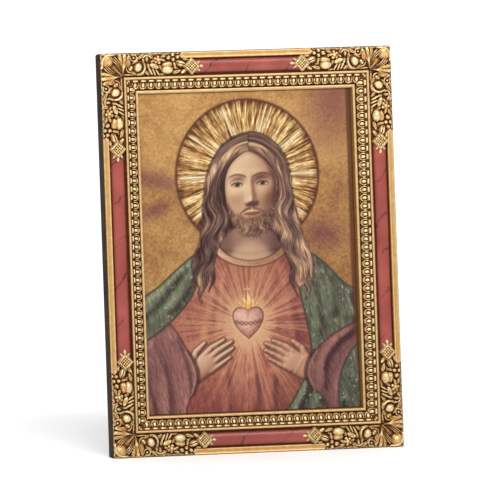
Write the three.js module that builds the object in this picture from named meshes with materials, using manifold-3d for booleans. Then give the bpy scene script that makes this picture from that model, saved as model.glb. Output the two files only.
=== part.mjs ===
// Framed devotional picture for a shelf: a cast resin frame with fruit-and-leaf corners, egg-and-dart
// moulding and a shallow tray, a picture card lying in the tray, and an easel foot glued on behind.
// Millimetres, +Z up, front towards -Y, standing as it is used, with the origin at the middle of the
// frame's underside.
import * as THREE from "three";
import { mergeVertices } from "three/addons/utils/BufferGeometryUtils.js";
import Module from "manifold-3d";

const wasm = await Module();
wasm.setup();

// Overall size and stance
const FRAME_WIDTH = 165;
const FRAME_HEIGHT = 216;
const LEAN_DEG = 6;
const TOUCH_GAP = 0.3;

// Rail section, from the outer edge inwards: widths
const RIM_WIDTH = 3.5;
const OUTER_GROOVE_WIDTH = 0.8;
const PANEL_WIDTH = 7.5;
const INNER_GROOVE_WIDTH = 1.15;
const FILLET_WIDTH = 1.5;
const EGG_SLOPE_WIDTH = 5.8;
const SIGHT_WIDTH = 1.4;
const BEVEL_WIDTH = 0.5;

// Rail section: thickness at the outer edge, and each member's rise or fall from the one before
const RIM_EDGE_HEIGHT = 8.4;
const RIM_RISE = 0.6;
const GROOVE_DEPTH = 1.8;
const PANEL_EDGE_RISE = 0.5;
const PANEL_CROWN = 1.6;
const FILLET_RISE = 0.3;
const SLOPE_STEP = 1.2;
const SLOPE_FALL = 2.7;
const SIGHT_RISE = 1.2;
const EDGE_ROUND = 0.35;
const BACK_CHAMFER = 0.4;

// Tray and card
const TRAY_FLOOR = 2.4;
const CARD_THICKNESS = 0.7;
const CARD_SIDE_GAP = 0.3;

// Egg-and-dart moulding: the eggs stand on the slope, a little nearer the picture than its middle
const EGG_PITCH = 4.45;
const EGG_LENGTH = 3.3;
const EGG_WIDTH = 3.5;
const EGG_RISE = 1.2;
const EGG_SINK = 0.15;
const EGG_OFFSET = 0.3;

// Corner carving: length of an arm, of its bed, and how far the bed lies below the rim
const ARM_LENGTH = 57;
const BED_LENGTH = 46;
const BED_DROP = 0.8;
const CARVING_SINK = 1.2;

// Easel foot
const FOOT_WIDTH = 26;
const FOOT_TOP = 96;
const FOOT_REACH = 46;
const FOOT_TOE_HEIGHT = 5;
const FOOT_WAIST = 27;
const FOOT_WAIST_DEPTH = 11;
const FOOT_TOP_DEPTH = 1.5;

const lean = THREE.MathUtils.degToRad(LEAN_DEG);
const halfW = FRAME_WIDTH / 2;
const halfH = FRAME_HEIGHT / 2;

// Insets of each member's edges from the outer edge of the frame
const grooveStart = RIM_WIDTH;
const panelStart = grooveStart + OUTER_GROOVE_WIDTH;
const panelEnd = panelStart + PANEL_WIDTH;
const filletStart = panelEnd + INNER_GROOVE_WIDTH;
const slopeStart = filletStart + FILLET_WIDTH;
const sightStart = slopeStart + EGG_SLOPE_WIDTH;
const bevelStart = sightStart + SIGHT_WIDTH;
const trayStart = bevelStart + BEVEL_WIDTH;

// Heights of the members above the flat back
const rimHeight = RIM_EDGE_HEIGHT + RIM_RISE;
const grooveHeight = rimHeight - GROOVE_DEPTH;
const panelEdgeHeight = grooveHeight + PANEL_EDGE_RISE;
const filletHeight = rimHeight + FILLET_RISE;
const slopeTop = filletHeight - SLOPE_STEP;
const slopeFoot = slopeTop - SLOPE_FALL;
const sightHeight = slopeFoot + SIGHT_RISE;
const bedHeight = rimHeight - BED_DROP;

// A closed mesh as a manifold-3d solid, with its shared vertices merged.
function solid(geometry) {
  const bare = new THREE.BufferGeometry();
  bare.setAttribute("position", geometry.getAttribute("position"));
  if (geometry.index) bare.setIndex(geometry.index);
  const merged = mergeVertices(bare, 1e-4);
  return new wasm.Manifold(
    new wasm.Mesh({
      numProp: 3,
      vertProperties: new Float32Array(merged.attributes.position.array),
      triVerts: new Uint32Array(merged.index.array),
    }),
  );
}

// A manifold-3d solid back as a three.js geometry.
function geometryOf(body) {
  const mesh = body.getMesh();
  const geometry = new THREE.BufferGeometry();
  geometry.setAttribute("position", new THREE.BufferAttribute(mesh.vertProperties, 3));
  geometry.setIndex(new THREE.BufferAttribute(mesh.triVerts, 1));
  geometry.computeVertexNormals();
  return geometry;
}

// A rectangular, mitred turning of a section. Each point is [inset from the outer edge, height], and a
// point on the axis has the inset null. A lathe of four sides gives a square, which is then stretched.
function mitredTurning(section) {
  const half = Math.min(halfW, halfH);
  const points = section.map(
    ([inset, height]) =>
      new THREE.Vector2(inset === null ? 0 : (half - inset) * Math.SQRT2, height),
  );
  const geometry = new THREE.LatheGeometry(points, 4, Math.PI / 4);
  geometry.rotateX(Math.PI / 2);
  const position = geometry.getAttribute("position");
  const onAxis = 1e-3;
  for (let i = 0; i < position.count; i++) {
    const x = position.getX(i);
    const y = position.getY(i);
    if (Math.abs(x) > onAxis) position.setX(i, x + Math.sign(x) * (halfW - half));
    if (Math.abs(y) > onAxis) position.setY(i, y + Math.sign(y) * (halfH - half));
  }
  return geometry;
}

// A round-topped member of the section, from one inset to the next, as a few points of a parabola.
function crown(from, to, edgeHeight, rise, steps) {
  return Array.from({ length: steps + 1 }, (_, i) => {
    const share = i / steps;
    return [from + (to - from) * share, edgeHeight + rise * 4 * share * (1 - share)];
  });
}

// The whole rail section with the tray floor, from the middle of the back to the middle of the tray.
function traySection() {
  return [
    [null, 0],
    [BACK_CHAMFER, 0],
    [0, BACK_CHAMFER],
    [0, RIM_EDGE_HEIGHT],
    [EDGE_ROUND, RIM_EDGE_HEIGHT + EDGE_ROUND],
    [grooveStart - EDGE_ROUND, rimHeight],
    [grooveStart, rimHeight - EDGE_ROUND],
    [grooveStart + EDGE_ROUND / 2, grooveHeight],
    [panelStart, grooveHeight],
    ...crown(panelStart, panelEnd, panelEdgeHeight, PANEL_CROWN, 6),
    [panelEnd, grooveHeight],
    [filletStart, grooveHeight],
    [filletStart + EDGE_ROUND / 2, filletHeight - EDGE_ROUND],
    [filletStart + EDGE_ROUND * 1.5, filletHeight],
    [slopeStart - EDGE_ROUND, filletHeight],
    [slopeStart, slopeTop],
    [sightStart - EDGE_ROUND, slopeFoot],
    [sightStart, sightHeight - EDGE_ROUND],
    [sightStart + EDGE_ROUND, sightHeight],
    [bevelStart - EDGE_ROUND, sightHeight],
    [bevelStart, sightHeight - EDGE_ROUND],
    [trayStart, TRAY_FLOOR],
    [null, TRAY_FLOOR],
  ];
}

// A unit form turned about the height axis from [radius, height] points. Its base line is at height 0, its
// top at height 1, and the rest below is a buried skirt.
function unitForm(profile, sides) {
  const points = profile.map(([radius, height]) => new THREE.Vector2(radius, height));
  const geometry = new THREE.LatheGeometry(points, sides);
  geometry.rotateX(Math.PI / 2);
  return geometry;
}

const domeProfile = [[0, -1], [1, -1], [1, 0], [Math.SQRT1_2, Math.SQRT1_2], [0, 1]];
const eggProfile = [[0, -1], [1.3, -1], [0.7, 1], [0, 1]];
const slabProfile = [[0, -1], [1, -1], [1, 0], [0.8, 1], [0, 1]];

const unitForms = {
  fruit: unitForm(domeProfile, 7),
  leaf: unitForm(domeProfile, 4),
  egg: unitForm(eggProfile, 5),
  slab: unitForm(slabProfile, 4),
};

// A unit form placed on the frame: centre, half length along the turned x, half width, base and top.
function placed(form, { x, y, long, wide, angle = 0, base, top }) {
  const scale = new THREE.Matrix4().makeScale(long, wide, top - base);
  const turn = new THREE.Matrix4().makeRotationZ(angle);
  const move = new THREE.Matrix4().makeTranslation(x, y, base);
  return solid(unitForms[form].clone().applyMatrix4(move.multiply(turn).multiply(scale)));
}

// The carving of one arm of a corner, drawn on a chart of this size. p runs along the arm from the outer
// corner, q is the inset from the outer edge, long and wide are half sizes, turn is the angle of the long
// side from the arm's direction in degrees, and rise is the height above the bed.
const CHART = { length: 57, width: 12.65 };
const CORNER_EAR = { form: "fruit", p: 4.3, q: 4.3, long: 5.2, wide: 4.2, turn: 45, rise: 3.4 };
const ARM_FORMS = [
  // fan of ribs and a broad leaf, from the inner corner to the outer edge
  { form: "leaf", p: 9.4, q: 6.6, long: 5.6, wide: 0.95, turn: 68, rise: 3.0 },
  { form: "leaf", p: 11.5, q: 6.4, long: 5.8, wide: 1.0, turn: 82, rise: 3.2 },
  { form: "leaf", p: 14.0, q: 4.6, long: 4.4, wide: 2.0, turn: 105, rise: 2.8 },
  // fruit, leaves, a bud and the lattice basket along the panel
  { form: "fruit", p: 16.4, q: 9.0, long: 2.3, wide: 3.0, turn: 0, rise: 3.0 },
  { form: "fruit", p: 21.6, q: 8.0, long: 3.1, wide: 3.3, turn: 0, rise: 3.9 },
  { form: "leaf", p: 26.6, q: 10.4, long: 3.8, wide: 1.9, turn: 25, rise: 2.6 },
  { form: "leaf", p: 29.3, q: 7.0, long: 3.9, wide: 2.2, turn: 15, rise: 3.2 },
  { form: "fruit", p: 36.6, q: 9.5, long: 3.5, wide: 2.8, turn: 0, rise: 4.0 },
  { form: "leaf", p: 37.0, q: 5.9, long: 4.4, wide: 1.7, turn: 0, rise: 3.0 },
  { form: "fruit", p: 44.6, q: 7.9, long: 3.6, wide: 3.0, turn: 12, rise: 3.3 },
  { form: "slab", p: 51.6, q: 8.15, long: 4.7, wide: 4.3, turn: 0, rise: 2.3 },
  { form: "slab", p: 56.6, q: 8.15, long: 1.6, wide: 1.0, turn: 0, rise: 1.9 },
  // leaves, blossom and berries along the rim
  { form: "leaf", p: 19.6, q: 3.0, long: 3.2, wide: 1.7, turn: 60, rise: 2.3 },
  { form: "fruit", p: 24.2, q: 3.2, long: 2.5, wide: 2.4, turn: 0, rise: 2.8 },
  { form: "leaf", p: 28.6, q: 2.6, long: 2.6, wide: 1.6, turn: 130, rise: 2.2 },
  { form: "fruit", p: 32.4, q: 3.2, long: 2.2, wide: 2.4, turn: 0, rise: 2.7 },
  { form: "leaf", p: 36.6, q: 2.4, long: 2.6, wide: 1.5, turn: 15, rise: 2.2 },
  { form: "fruit", p: 40.9, q: 2.9, long: 2.0, wide: 2.0, turn: 0, rise: 2.4 },
  { form: "leaf", p: 45.0, q: 2.6, long: 2.9, wide: 1.6, turn: 15, rise: 2.0 },
];

// Chart point to the frame's plane, for the corner with these signs. An upright arm swaps along and in.
function cornerPoint(side, level, upright, along, inset) {
  const [fromSide, fromEnd] = upright ? [inset, along] : [along, inset];
  return [side * (halfW - fromSide), level * (halfH - fromEnd)];
}

function cornerAngle(side, level, upright, turn) {
  const radians = THREE.MathUtils.degToRad(turn);
  const [along, across] = [Math.cos(radians), Math.sin(radians)];
  const [dx, dy] = upright ? [across, along] : [along, across];
  return Math.atan2(-level * dy, -side * dx);
}

function cornerForm(shape, side, level, upright) {
  const stretch = ARM_LENGTH / CHART.length;
  const spread = filletStart / CHART.width;
  const [x, y] = cornerPoint(side, level, upright, shape.p * stretch, shape.q * spread);
  return placed(shape.form, {
    x,
    y,
    long: shape.long * stretch,
    wide: shape.wide * spread,
    angle: cornerAngle(side, level, upright, shape.turn),
    base: bedHeight - CARVING_SINK,
    top: bedHeight + shape.rise,
  });
}

function cornerCarving(side, level) {
  const arms = [false, true].flatMap((upright) =>
    ARM_FORMS.map((shape) => cornerForm(shape, side, level, upright)),
  );
  return [cornerForm(CORNER_EAR, side, level, false), ...arms];
}

// The bed under a corner's carving: the L between the outer edge and the fillet, from one height up.
function cornerBed(side, level, from, to) {
  const outline = new THREE.Shape(
    [
      [0, 0],
      [BED_LENGTH, 0],
      [BED_LENGTH, filletStart],
      [filletStart, filletStart],
      [filletStart, BED_LENGTH],
      [0, BED_LENGTH],
    ].map(([along, inset]) => new THREE.Vector2(...cornerPoint(side, level, false, along, inset))),
  );
  const bed = new THREE.ExtrudeGeometry(outline, { depth: to - from, bevelEnabled: false });
  bed.translate(0, 0, from);
  return solid(bed);
}

// One straight run of eggs, shared out evenly between the mitres of its side. place takes an egg's
// distance along the run and its inset, and gives its centre and half sizes.
function eggRun(length, place) {
  const count = Math.round(length / EGG_PITCH);
  const pitch = length / count;
  const ground = slopeTop - (0.5 + EGG_OFFSET / EGG_SLOPE_WIDTH) * SLOPE_FALL;
  return Array.from({ length: count }, (_, i) =>
    placed("egg", {
      ...place((i + 0.5) * pitch - length / 2),
      base: ground - EGG_SINK,
      top: ground + EGG_RISE,
    }),
  );
}

function eggMoulding() {
  const slopeMiddle = slopeStart + EGG_SLOPE_WIDTH / 2;
  const inset = slopeMiddle + EGG_OFFSET;
  const [longHalf, wideHalf] = [EGG_LENGTH / 2, EGG_WIDTH / 2];
  return [-1, 1].flatMap((sign) => [
    ...eggRun(FRAME_WIDTH - 2 * slopeMiddle, (along) => ({
      x: along,
      y: sign * (halfH - inset),
      long: longHalf,
      wide: wideHalf,
    })),
    ...eggRun(FRAME_HEIGHT - 2 * slopeMiddle, (along) => ({
      x: sign * (halfW - inset),
      y: along,
      long: wideHalf,
      wide: longHalf,
    })),
  ]);
}

// What lies below the ground, in the leaning frame's own axes: a block whose top face is level.
function groundBlock() {
  const size = 2 * Math.max(FRAME_WIDTH, FRAME_HEIGHT);
  const block = new THREE.BoxGeometry(size, size, size);
  block.translate(0, -size / 2, 0);
  block.rotateX(lean);
  block.translate(0, -halfH, RIM_EDGE_HEIGHT);
  return solid(block);
}

// The frame's outline, which the carving along the rim doesn't pass.
function outlineBlock() {
  return solid(new THREE.BoxGeometry(FRAME_WIDTH, FRAME_HEIGHT, 4 * filletHeight));
}

function frameGeometry() {
  let tray = solid(mitredTurning(traySection()));
  const forms = eggMoulding();
  for (const side of [-1, 1]) {
    for (const level of [-1, 1]) {
      tray = tray.subtract(cornerBed(side, level, bedHeight, 2 * filletHeight));
      forms.push(cornerBed(side, level, TRAY_FLOOR, bedHeight), ...cornerCarving(side, level));
    }
  }
  const carved = wasm.Manifold.union([tray, ...forms]);
  return geometryOf(carved.intersect(outlineBlock()).subtract(groundBlock()));
}

function cardGeometry() {
  const inset = trayStart + CARD_SIDE_GAP;
  const card = new THREE.BoxGeometry(
    FRAME_WIDTH - 2 * inset,
    FRAME_HEIGHT - 2 * inset,
    CARD_THICKNESS,
  );
  card.translate(0, 0, TRAY_FLOOR + TOUCH_GAP + CARD_THICKNESS / 2);
  return card;
}

// The foot's side view, drawn in the ground's own axes (behind, up): it follows the leaning back, and its
// rear edge sweeps down in a hollow curve to a flat toe.
function footGeometry(backAtGround) {
  const touch = TOUCH_GAP / Math.cos(lean);
  const backAt = (height) => backAtGround + height * Math.tan(lean) + touch;
  const heel = backAtGround + FOOT_REACH;
  const outline = new THREE.Shape();
  outline.moveTo(backAt(0), 0);
  outline.lineTo(heel, 0);
  outline.lineTo(heel, FOOT_TOE_HEIGHT);
  outline.quadraticCurveTo(
    backAt(FOOT_WAIST) + FOOT_WAIST_DEPTH,
    FOOT_WAIST,
    backAt(FOOT_TOP) + FOOT_TOP_DEPTH,
    FOOT_TOP,
  );
  outline.lineTo(backAt(FOOT_TOP), FOOT_TOP);
  outline.closePath();
  const foot = new THREE.ExtrudeGeometry(outline, {
    depth: FOOT_WIDTH,
    bevelEnabled: false,
    curveSegments: 10,
  });
  foot.translate(0, 0, -FOOT_WIDTH / 2);
  foot.applyMatrix4(new THREE.Matrix4().set(0, 0, 1, 0, 1, 0, 0, 0, 0, 1, 0, 0, 0, 0, 0, 1));
  return foot;
}

const gilt = new THREE.MeshStandardMaterial({ color: 0xc79a4b, roughness: 0.38, metalness: 0.75 });
const print = new THREE.MeshStandardMaterial({ color: 0xa8753c, roughness: 0.6, metalness: 0 });
const umber = new THREE.MeshStandardMaterial({ color: 0x3b2f27, roughness: 0.7, metalness: 0 });

function named(name, geometry, material) {
  const mesh = new THREE.Mesh(geometry, material);
  mesh.name = name;
  return mesh;
}

// The leaning group's origin is the middle of the flat back. Its underside is cut level, so the ground
// meets it along a strip from the rim's front edge back to the flat back.
const undersideDepth = RIM_EDGE_HEIGHT / Math.cos(lean);
const plaque = new THREE.Group();
plaque.rotation.x = Math.PI / 2 - lean;
const frontEdge = new THREE.Vector3(0, -halfH, RIM_EDGE_HEIGHT).applyEuler(plaque.rotation);
plaque.position.set(0, -undersideDepth / 2 - frontEdge.y, -frontEdge.z);
plaque.add(named("frame", frameGeometry(), gilt), named("picture_card", cardGeometry(), print));

const standingPicture = new THREE.Group();
standingPicture.add(plaque, named("easel_foot", footGeometry(undersideDepth / 2), umber));

export default standingPicture;
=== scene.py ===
# %% [markdown]
# # A framed devotional picture for a shelf
# The real thing is a cast resin frame, gilded and rubbed with brown patina, round a printed picture. It leans
# back a few degrees on a foot that is glued on behind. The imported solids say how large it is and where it
# stands, and this lesson adds the fine carving, the paint and the picture.

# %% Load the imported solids
import math

import bmesh
import bpy
import numpy as np
from mathutils import Matrix, Vector


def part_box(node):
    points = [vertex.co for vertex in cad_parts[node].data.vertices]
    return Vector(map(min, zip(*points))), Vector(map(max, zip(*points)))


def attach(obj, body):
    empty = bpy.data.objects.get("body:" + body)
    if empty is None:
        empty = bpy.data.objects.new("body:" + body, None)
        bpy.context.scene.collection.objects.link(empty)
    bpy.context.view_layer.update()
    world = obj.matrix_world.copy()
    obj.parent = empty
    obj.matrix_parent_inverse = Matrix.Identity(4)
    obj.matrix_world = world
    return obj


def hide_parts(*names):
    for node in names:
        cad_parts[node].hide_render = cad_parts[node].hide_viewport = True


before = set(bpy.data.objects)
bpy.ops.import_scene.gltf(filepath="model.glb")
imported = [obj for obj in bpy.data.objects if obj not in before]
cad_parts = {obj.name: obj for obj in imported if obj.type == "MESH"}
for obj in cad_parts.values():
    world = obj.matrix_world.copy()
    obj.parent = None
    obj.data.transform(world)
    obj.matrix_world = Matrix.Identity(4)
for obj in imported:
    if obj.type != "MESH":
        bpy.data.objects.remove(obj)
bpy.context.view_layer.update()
print("packed nodes:", sorted(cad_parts))

# %% [markdown]
# ## Sizes
# The casting is drawn on a chart in millimetres that lies in the frame's own leaning plane: x to the right,
# y up the slope and z out of the flat back towards the viewer. The rail is read from its outer edge inwards,
# so its members are a running sum of widths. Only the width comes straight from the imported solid, because the
# height is measured along the slope.

# %% Overall size, stance and the members of the rail
MM = 0.001
frame_low, frame_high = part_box("frame")
WIDTH = (frame_high.x - frame_low.x) / MM
HEIGHT = 216.0
LEAN = math.radians(6.0)
EDGE = 8.4
RIM, OUTER_GROOVE, PANEL, INNER_GROOVE = 3.5, 0.8, 7.5, 1.15
FILLET, SLOPE, SIGHT, BEVEL = 1.5, 5.8, 1.4, 0.5
PANEL_START = RIM + OUTER_GROOVE
PANEL_END = PANEL_START + PANEL
FILLET_START = PANEL_END + INNER_GROOVE
SLOPE_START = FILLET_START + FILLET
SIGHT_START = SLOPE_START + SLOPE
BEVEL_START = SIGHT_START + SIGHT
TRAY_START = BEVEL_START + BEVEL
RIM_TOP, GROOVE_FLOOR, PANEL_EDGE, PANEL_TOP, FILLET_TOP = 9.0, 7.2, 7.7, 9.3, 9.3
SLOPE_TOP, SLOPE_FOOT, SIGHT_TOP = 8.1, 5.4, 6.6
TRAY_FLOOR, CARD_BACK, CARD_FACE = 2.4, 2.7, 3.4
print(f"frame {WIDTH:.1f} x {HEIGHT:.1f} mm, rail {TRAY_START:.2f} mm wide")

# %% [markdown]
# ## From the chart to the room
# Every surface below is worked out flat, on the chart, and turned back by the lean as its last step. The
# bottom edge of a leaning block would dip below the shelf, so what would pass below is cut level with it, as
# the casting's underside is.

# %% Turn chart millimetres into metres in the room
UNDERSIDE = EDGE / math.cos(LEAN)


def in_room(x, y, z):
    """The point's distances from the lower front edge, up the slope and out of the plane, turned back by the
    lean: behind is up times sine minus out times cosine, above is up times cosine plus out times sine."""
    up, out = y + HEIGHT / 2, z - EDGE
    behind = up * math.sin(LEAN) - out * math.cos(LEAN) - UNDERSIDE / 2
    above = up * math.cos(LEAN) + out * math.sin(LEAN)
    x, behind, above = np.broadcast_arrays(x, behind, np.maximum(above, 0.0))
    return np.stack([x, behind, above], axis=-1) * MM


print("top edge in the room, metres:", in_room(0.0, HEIGHT / 2, EDGE).round(4))

# %% [markdown]
# ## From arrays to meshes
# A grid of points becomes quads between neighbours. A surface that stands on a flat base is closed with a
# skirt and one face below, and a section that runs round the frame closes on itself both ways, so every piece
# is a closed shell. Blender then turns all faces outwards, and edges sharper than a chosen angle stay crisp.

# %% Helpers that make a mesh piece
def quads(index):
    """Four-cornered faces between the neighbours of a grid of point numbers."""
    ring = [index[:-1, :-1], index[:-1, 1:], index[1:, 1:], index[1:, :-1]]
    return np.stack(ring, axis=-1).reshape(-1, 4)


def make_piece(name, points, faces, crease=40.0, **values):
    """A mesh object from points and faces, with its normals turned outwards and named per-point values."""
    mesh = bpy.data.meshes.new(name)
    mesh.from_pydata(points.reshape(-1, 3).tolist(), [], faces)
    shell = bmesh.new()
    shell.from_mesh(mesh)
    bmesh.ops.recalc_face_normals(shell, faces=shell.faces)
    shell.to_mesh(mesh)
    shell.free()
    mesh.shade_smooth()
    mesh.set_sharp_from_angle(angle=math.radians(crease))
    for label, value in values.items():
        kind = "FLOAT_COLOR" if value.ndim == 2 else "FLOAT"
        layer = mesh.attributes.new(label, kind, "POINT")
        layer.data.foreach_set("color" if value.ndim == 2 else "value", value.astype(np.float32).ravel())
    piece = bpy.data.objects.new(name, mesh)
    bpy.context.collection.objects.link(piece)
    print(f"{name}: {len(mesh.vertices)} points, {len(mesh.polygons)} faces")
    return piece


def on_base(x, y, top, base):
    """A closed block from a grid of heights: the top, a skirt down to the base, and one face below."""
    index = np.arange(top.size).reshape(top.shape)
    edge = np.concatenate([index[0, :-1], index[:-1, -1], index[-1, :0:-1], index[:0:-1, 0]])
    low = top.size + np.arange(edge.size)
    skirt = np.stack([edge, np.roll(edge, -1), np.roll(low, -1), low], axis=-1)
    points = np.concatenate([
        in_room(x, y, top).reshape(-1, 3),
        in_room(x.ravel()[edge], y.ravel()[edge], np.full(edge.size, base)),
    ])
    faces = quads(index).tolist() + skirt.tolist() + [low[::-1].tolist()]
    return points, faces, edge


def closed_ring(x, y, z):
    """A section that closes on itself, carried round a loop that closes on itself: both grid ways wrap."""
    index = np.arange(z.size).reshape(z.shape)
    index = np.vstack([index, index[:1]])
    index = np.hstack([index, index[:, :1]])
    return in_room(x, y, z), quads(index).tolist()


# %% [markdown]
# A few soft functions shape most surfaces and colours below: a running mean, an S curve, a bell curve and a
# noise. They take whole arrays at a time, and the noise needs no random numbers, so every run gives the same.

# %% Helpers for soft edges and unevenness
def smoothed(values, reach):
    """A running mean over 2 reach + 1 points both ways, taken from running sums."""
    span = 2 * reach + 1
    for axis in (0, 1):
        pad = [(0, 0), (0, 0)]
        pad[axis] = (reach + 1, reach)
        total = np.cumsum(np.pad(values, pad, mode="edge"), axis=axis)
        ends, starts = range(span, total.shape[axis]), range(total.shape[axis] - span)
        values = (np.take(total, ends, axis) - np.take(total, starts, axis)) / span
    return values


def proud(height, reach, gain):
    """How far each point stands out of what surrounds it, from 0 in a hollow to 1 on a crest."""
    return np.clip(0.5 + gain * (height - smoothed(height, reach)), 0.0, 1.0)


def ease(low, high, value):
    """0 up to low, 1 from high on, and an S curve between."""
    share = np.clip((value - low) / (high - low), 0.0, 1.0)
    return share * share * (3.0 - 2.0 * share)


def bell(value):
    """A bell curve: 1 at the value 0, a third at 1, and next to nothing beyond 2."""
    return np.exp(-value ** 2)


def bump(a, b, at_a, at_b, wide, tall):
    """A round hill of height 1: a bell curve both ways."""
    return np.exp(-((a - at_a) / wide) ** 2 - ((b - at_b) / tall) ** 2)


def grain(x, y, size, seed=0.0):
    """Smooth noise from 0 to 1: the corners of a square net take the fraction of a steep sine as their
    values, and S curves join them."""
    i, j = np.floor(x / size), np.floor(y / size)
    a, b = x / size - i, y / size - j
    a, b = a * a * (3.0 - 2.0 * a), b * b * (3.0 - 2.0 * b)

    def knot(m, n):
        """The fixed value at one corner of the net."""
        return (np.sin(12.9898 * m + 78.233 * n + seed) * 43758.5453) % 1.0

    low = knot(i, j) * (1.0 - a) + knot(i + 1, j) * a
    high = knot(i, j + 1) * (1.0 - a) + knot(i + 1, j + 1) * a
    return low * (1.0 - b) + high * b


# %% [markdown]
# ## The camera
# The picture is seen a little from its left and from slightly above, through a long lens. The camera aims at
# the middle of the front, a millimetre or so off, to put the picture where it is in the photograph.

# %% Camera
VIEW_AZIMUTH, VIEW_ELEVATION, VIEW_DISTANCE = math.radians(-19.4), math.radians(5.8), 6.0
PIXELS_PER_METRE = 1867.0
SENSOR = 36.0
PHOTO_SIDE = 500
AIM_RIGHT, AIM_UP = -0.00156, 0.00061
NEAREST, FARTHEST = 0.1, 30.0


def camera_axes():
    """Right, up and back of a camera at the view's azimuth and elevation."""
    a, e = VIEW_AZIMUTH, VIEW_ELEVATION
    right = np.array([math.cos(a), math.sin(a), 0.0])
    back = np.array([math.sin(a) * math.cos(e), -math.cos(a) * math.cos(e), math.sin(e)])
    return right, np.cross(back, right), back


def add_camera():
    """The camera stands back from its target along the back axis. Its lens is the pixels per metre times the
    distance, as a share of the photo's side, times the sensor's width."""
    right, up, back = camera_axes()
    target = in_room(0.0, 0.0, RIM_TOP) + AIM_RIGHT * right + AIM_UP * up
    lens = bpy.data.cameras.new("camera")
    lens.sensor_width = SENSOR
    lens.lens = PIXELS_PER_METRE * VIEW_DISTANCE * SENSOR / PHOTO_SIDE
    lens.clip_start, lens.clip_end = NEAREST, FARTHEST
    camera = bpy.data.objects.new("camera", lens)
    stance = np.eye(4)
    stance[:3] = np.stack([right, up, back, target + VIEW_DISTANCE * back], axis=1)
    bpy.context.collection.objects.link(camera)
    camera.matrix_world = Matrix(stance.tolist())
    bpy.context.scene.camera = camera
    print(f"camera lens {lens.lens:.0f} mm at {VIEW_DISTANCE} m")


add_camera()

# %% [markdown]
# ## The dark tray
# The casting is one block with a pocket for the picture. Its sides and back are painted dark, and all that is
# gilded sits on top, so the block is a piece of its own here. A box with its pocket cut by a Boolean would
# do, but one section carried round the outline needs no cut and has its rounded edge built in. It is closed
# by a flat face behind and another as the floor of the pocket. The section is a list of insets and heights:
# the rounded rear edge, the side with its low lip, a shelf under rails and panels, a lower one under the
# moulding, and the pocket.

# %% Sides, back and tray floor
CORNER_ROUND, CORNER_STEPS = 1.3, 5
LIP_TOP, SHELF_TOP, STEP_TOP = EDGE - 0.25, GROOVE_FLOOR - 0.8, CARD_FACE - 0.4
TRAY_SECTION = [
    (1.3, 0.0), (0.6, 0.2), (0.15, 0.65), (0.0, 1.4), (0.0, LIP_TOP), (0.2, LIP_TOP + 0.12), (0.3, LIP_TOP),
    (0.35, SHELF_TOP), (FILLET_START, SHELF_TOP), (FILLET_START + 0.1, STEP_TOP), (TRAY_START, STEP_TOP),
    (TRAY_START, TRAY_FLOOR),
]


def outline(inset):
    """Points round the frame at this inset, with the outer corners slightly rounded: each quarter turn of a
    small circle is set at its own corner."""
    half_w, half_h = WIDTH / 2 - inset, HEIGHT / 2 - inset
    radius = max(CORNER_ROUND - inset, 0.05)
    turn = np.linspace(0.0, math.pi / 2, CORNER_STEPS)
    quarters = [(1, 1, 0.0), (-1, 1, 0.5), (-1, -1, 1.0), (1, -1, 1.5)]
    x = [sx * (half_w - radius) + radius * np.cos(turn + start * math.pi) for sx, sy, start in quarters]
    y = [sy * (half_h - radius) + radius * np.sin(turn + start * math.pi) for sx, sy, start in quarters]
    return np.concatenate(x), np.concatenate(y)


def make_tray():
    """The section's points carried round the outline, with a flat face at its first and at its last loop."""
    loops = [outline(inset) for inset, height in TRAY_SECTION]
    x = np.array([loop[0] for loop in loops])
    y = np.array([loop[1] for loop in loops])
    z = np.repeat([[height] for inset, height in TRAY_SECTION], x.shape[1], axis=1)
    index = np.arange(x.size).reshape(x.shape)
    around = np.hstack([index, index[:, :1]])
    faces = quads(around).tolist() + [index[0].tolist(), index[-1, ::-1].tolist()]
    return make_piece("frame_body", in_room(x, y, z), faces, crease=25.0)


frame_body = make_tray()

# %% [markdown]
# ## Straight rails between the corners
# Between two corner ornaments each side has a flat gilt rim with a soft lip along both its edges, a dark
# groove, the seat of the crimson panel, and a second groove. The half-round crimson panels lie in their
# seats. A curve with a bevel profile would give the same bars, but ruler-straight. Here the section is set
# down at many places along, so that a slow ripple in the height keeps the long reflections as uneven as they
# are on a casting. Every gilt point also carries a value that its finish is read from: near 0 dark patina,
# near 1 bare bright gilt. Here it goes by height, and the rim's two lips are the brightest.

# %% Gilt rails and crimson panels
RAIL_FROM, PANEL_FROM = 45.6, 50.5
RAIL_STEPS, PANEL_STEPS, ARCH_STEPS = 140, 150, 22
RAIL_RIPPLE, PANEL_RIPPLE, MOULDING_RIPPLE = 0.035, 0.03, 0.02
RAIL_FOOT = GROOVE_FLOOR - 0.6
FLAT_GILT, LIP_GILT = 0.62, 0.84
RIM_LIPS = [4, 10]
RAIL_SECTION = np.array([
    (0.22, RAIL_FOOT), (0.22, RIM_TOP - 0.8), (0.28, RIM_TOP - 0.4), (0.45, RIM_TOP - 0.12), (0.7, RIM_TOP),
    (0.95, RIM_TOP - 0.08), (1.15, RIM_TOP - 0.2), (1.8, RIM_TOP - 0.24), (2.5, RIM_TOP - 0.2),
    (2.75, RIM_TOP - 0.08), (3.0, RIM_TOP), (3.3, RIM_TOP - 0.06), (3.5, RIM_TOP - 0.3),
    (3.6, RIM_TOP - 0.9), (3.68, GROOVE_FLOOR + 0.2), (3.85, GROOVE_FLOOR), (4.2, GROOVE_FLOOR),
    (4.35, GROOVE_FLOOR + 0.05), (8.0, GROOVE_FLOOR + 0.1), (11.8, GROOVE_FLOOR + 0.05),
    (12.1, GROOVE_FLOOR), (FILLET_START - 0.02, GROOVE_FLOOR), (FILLET_START - 0.02, RAIL_FOOT),
])


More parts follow.
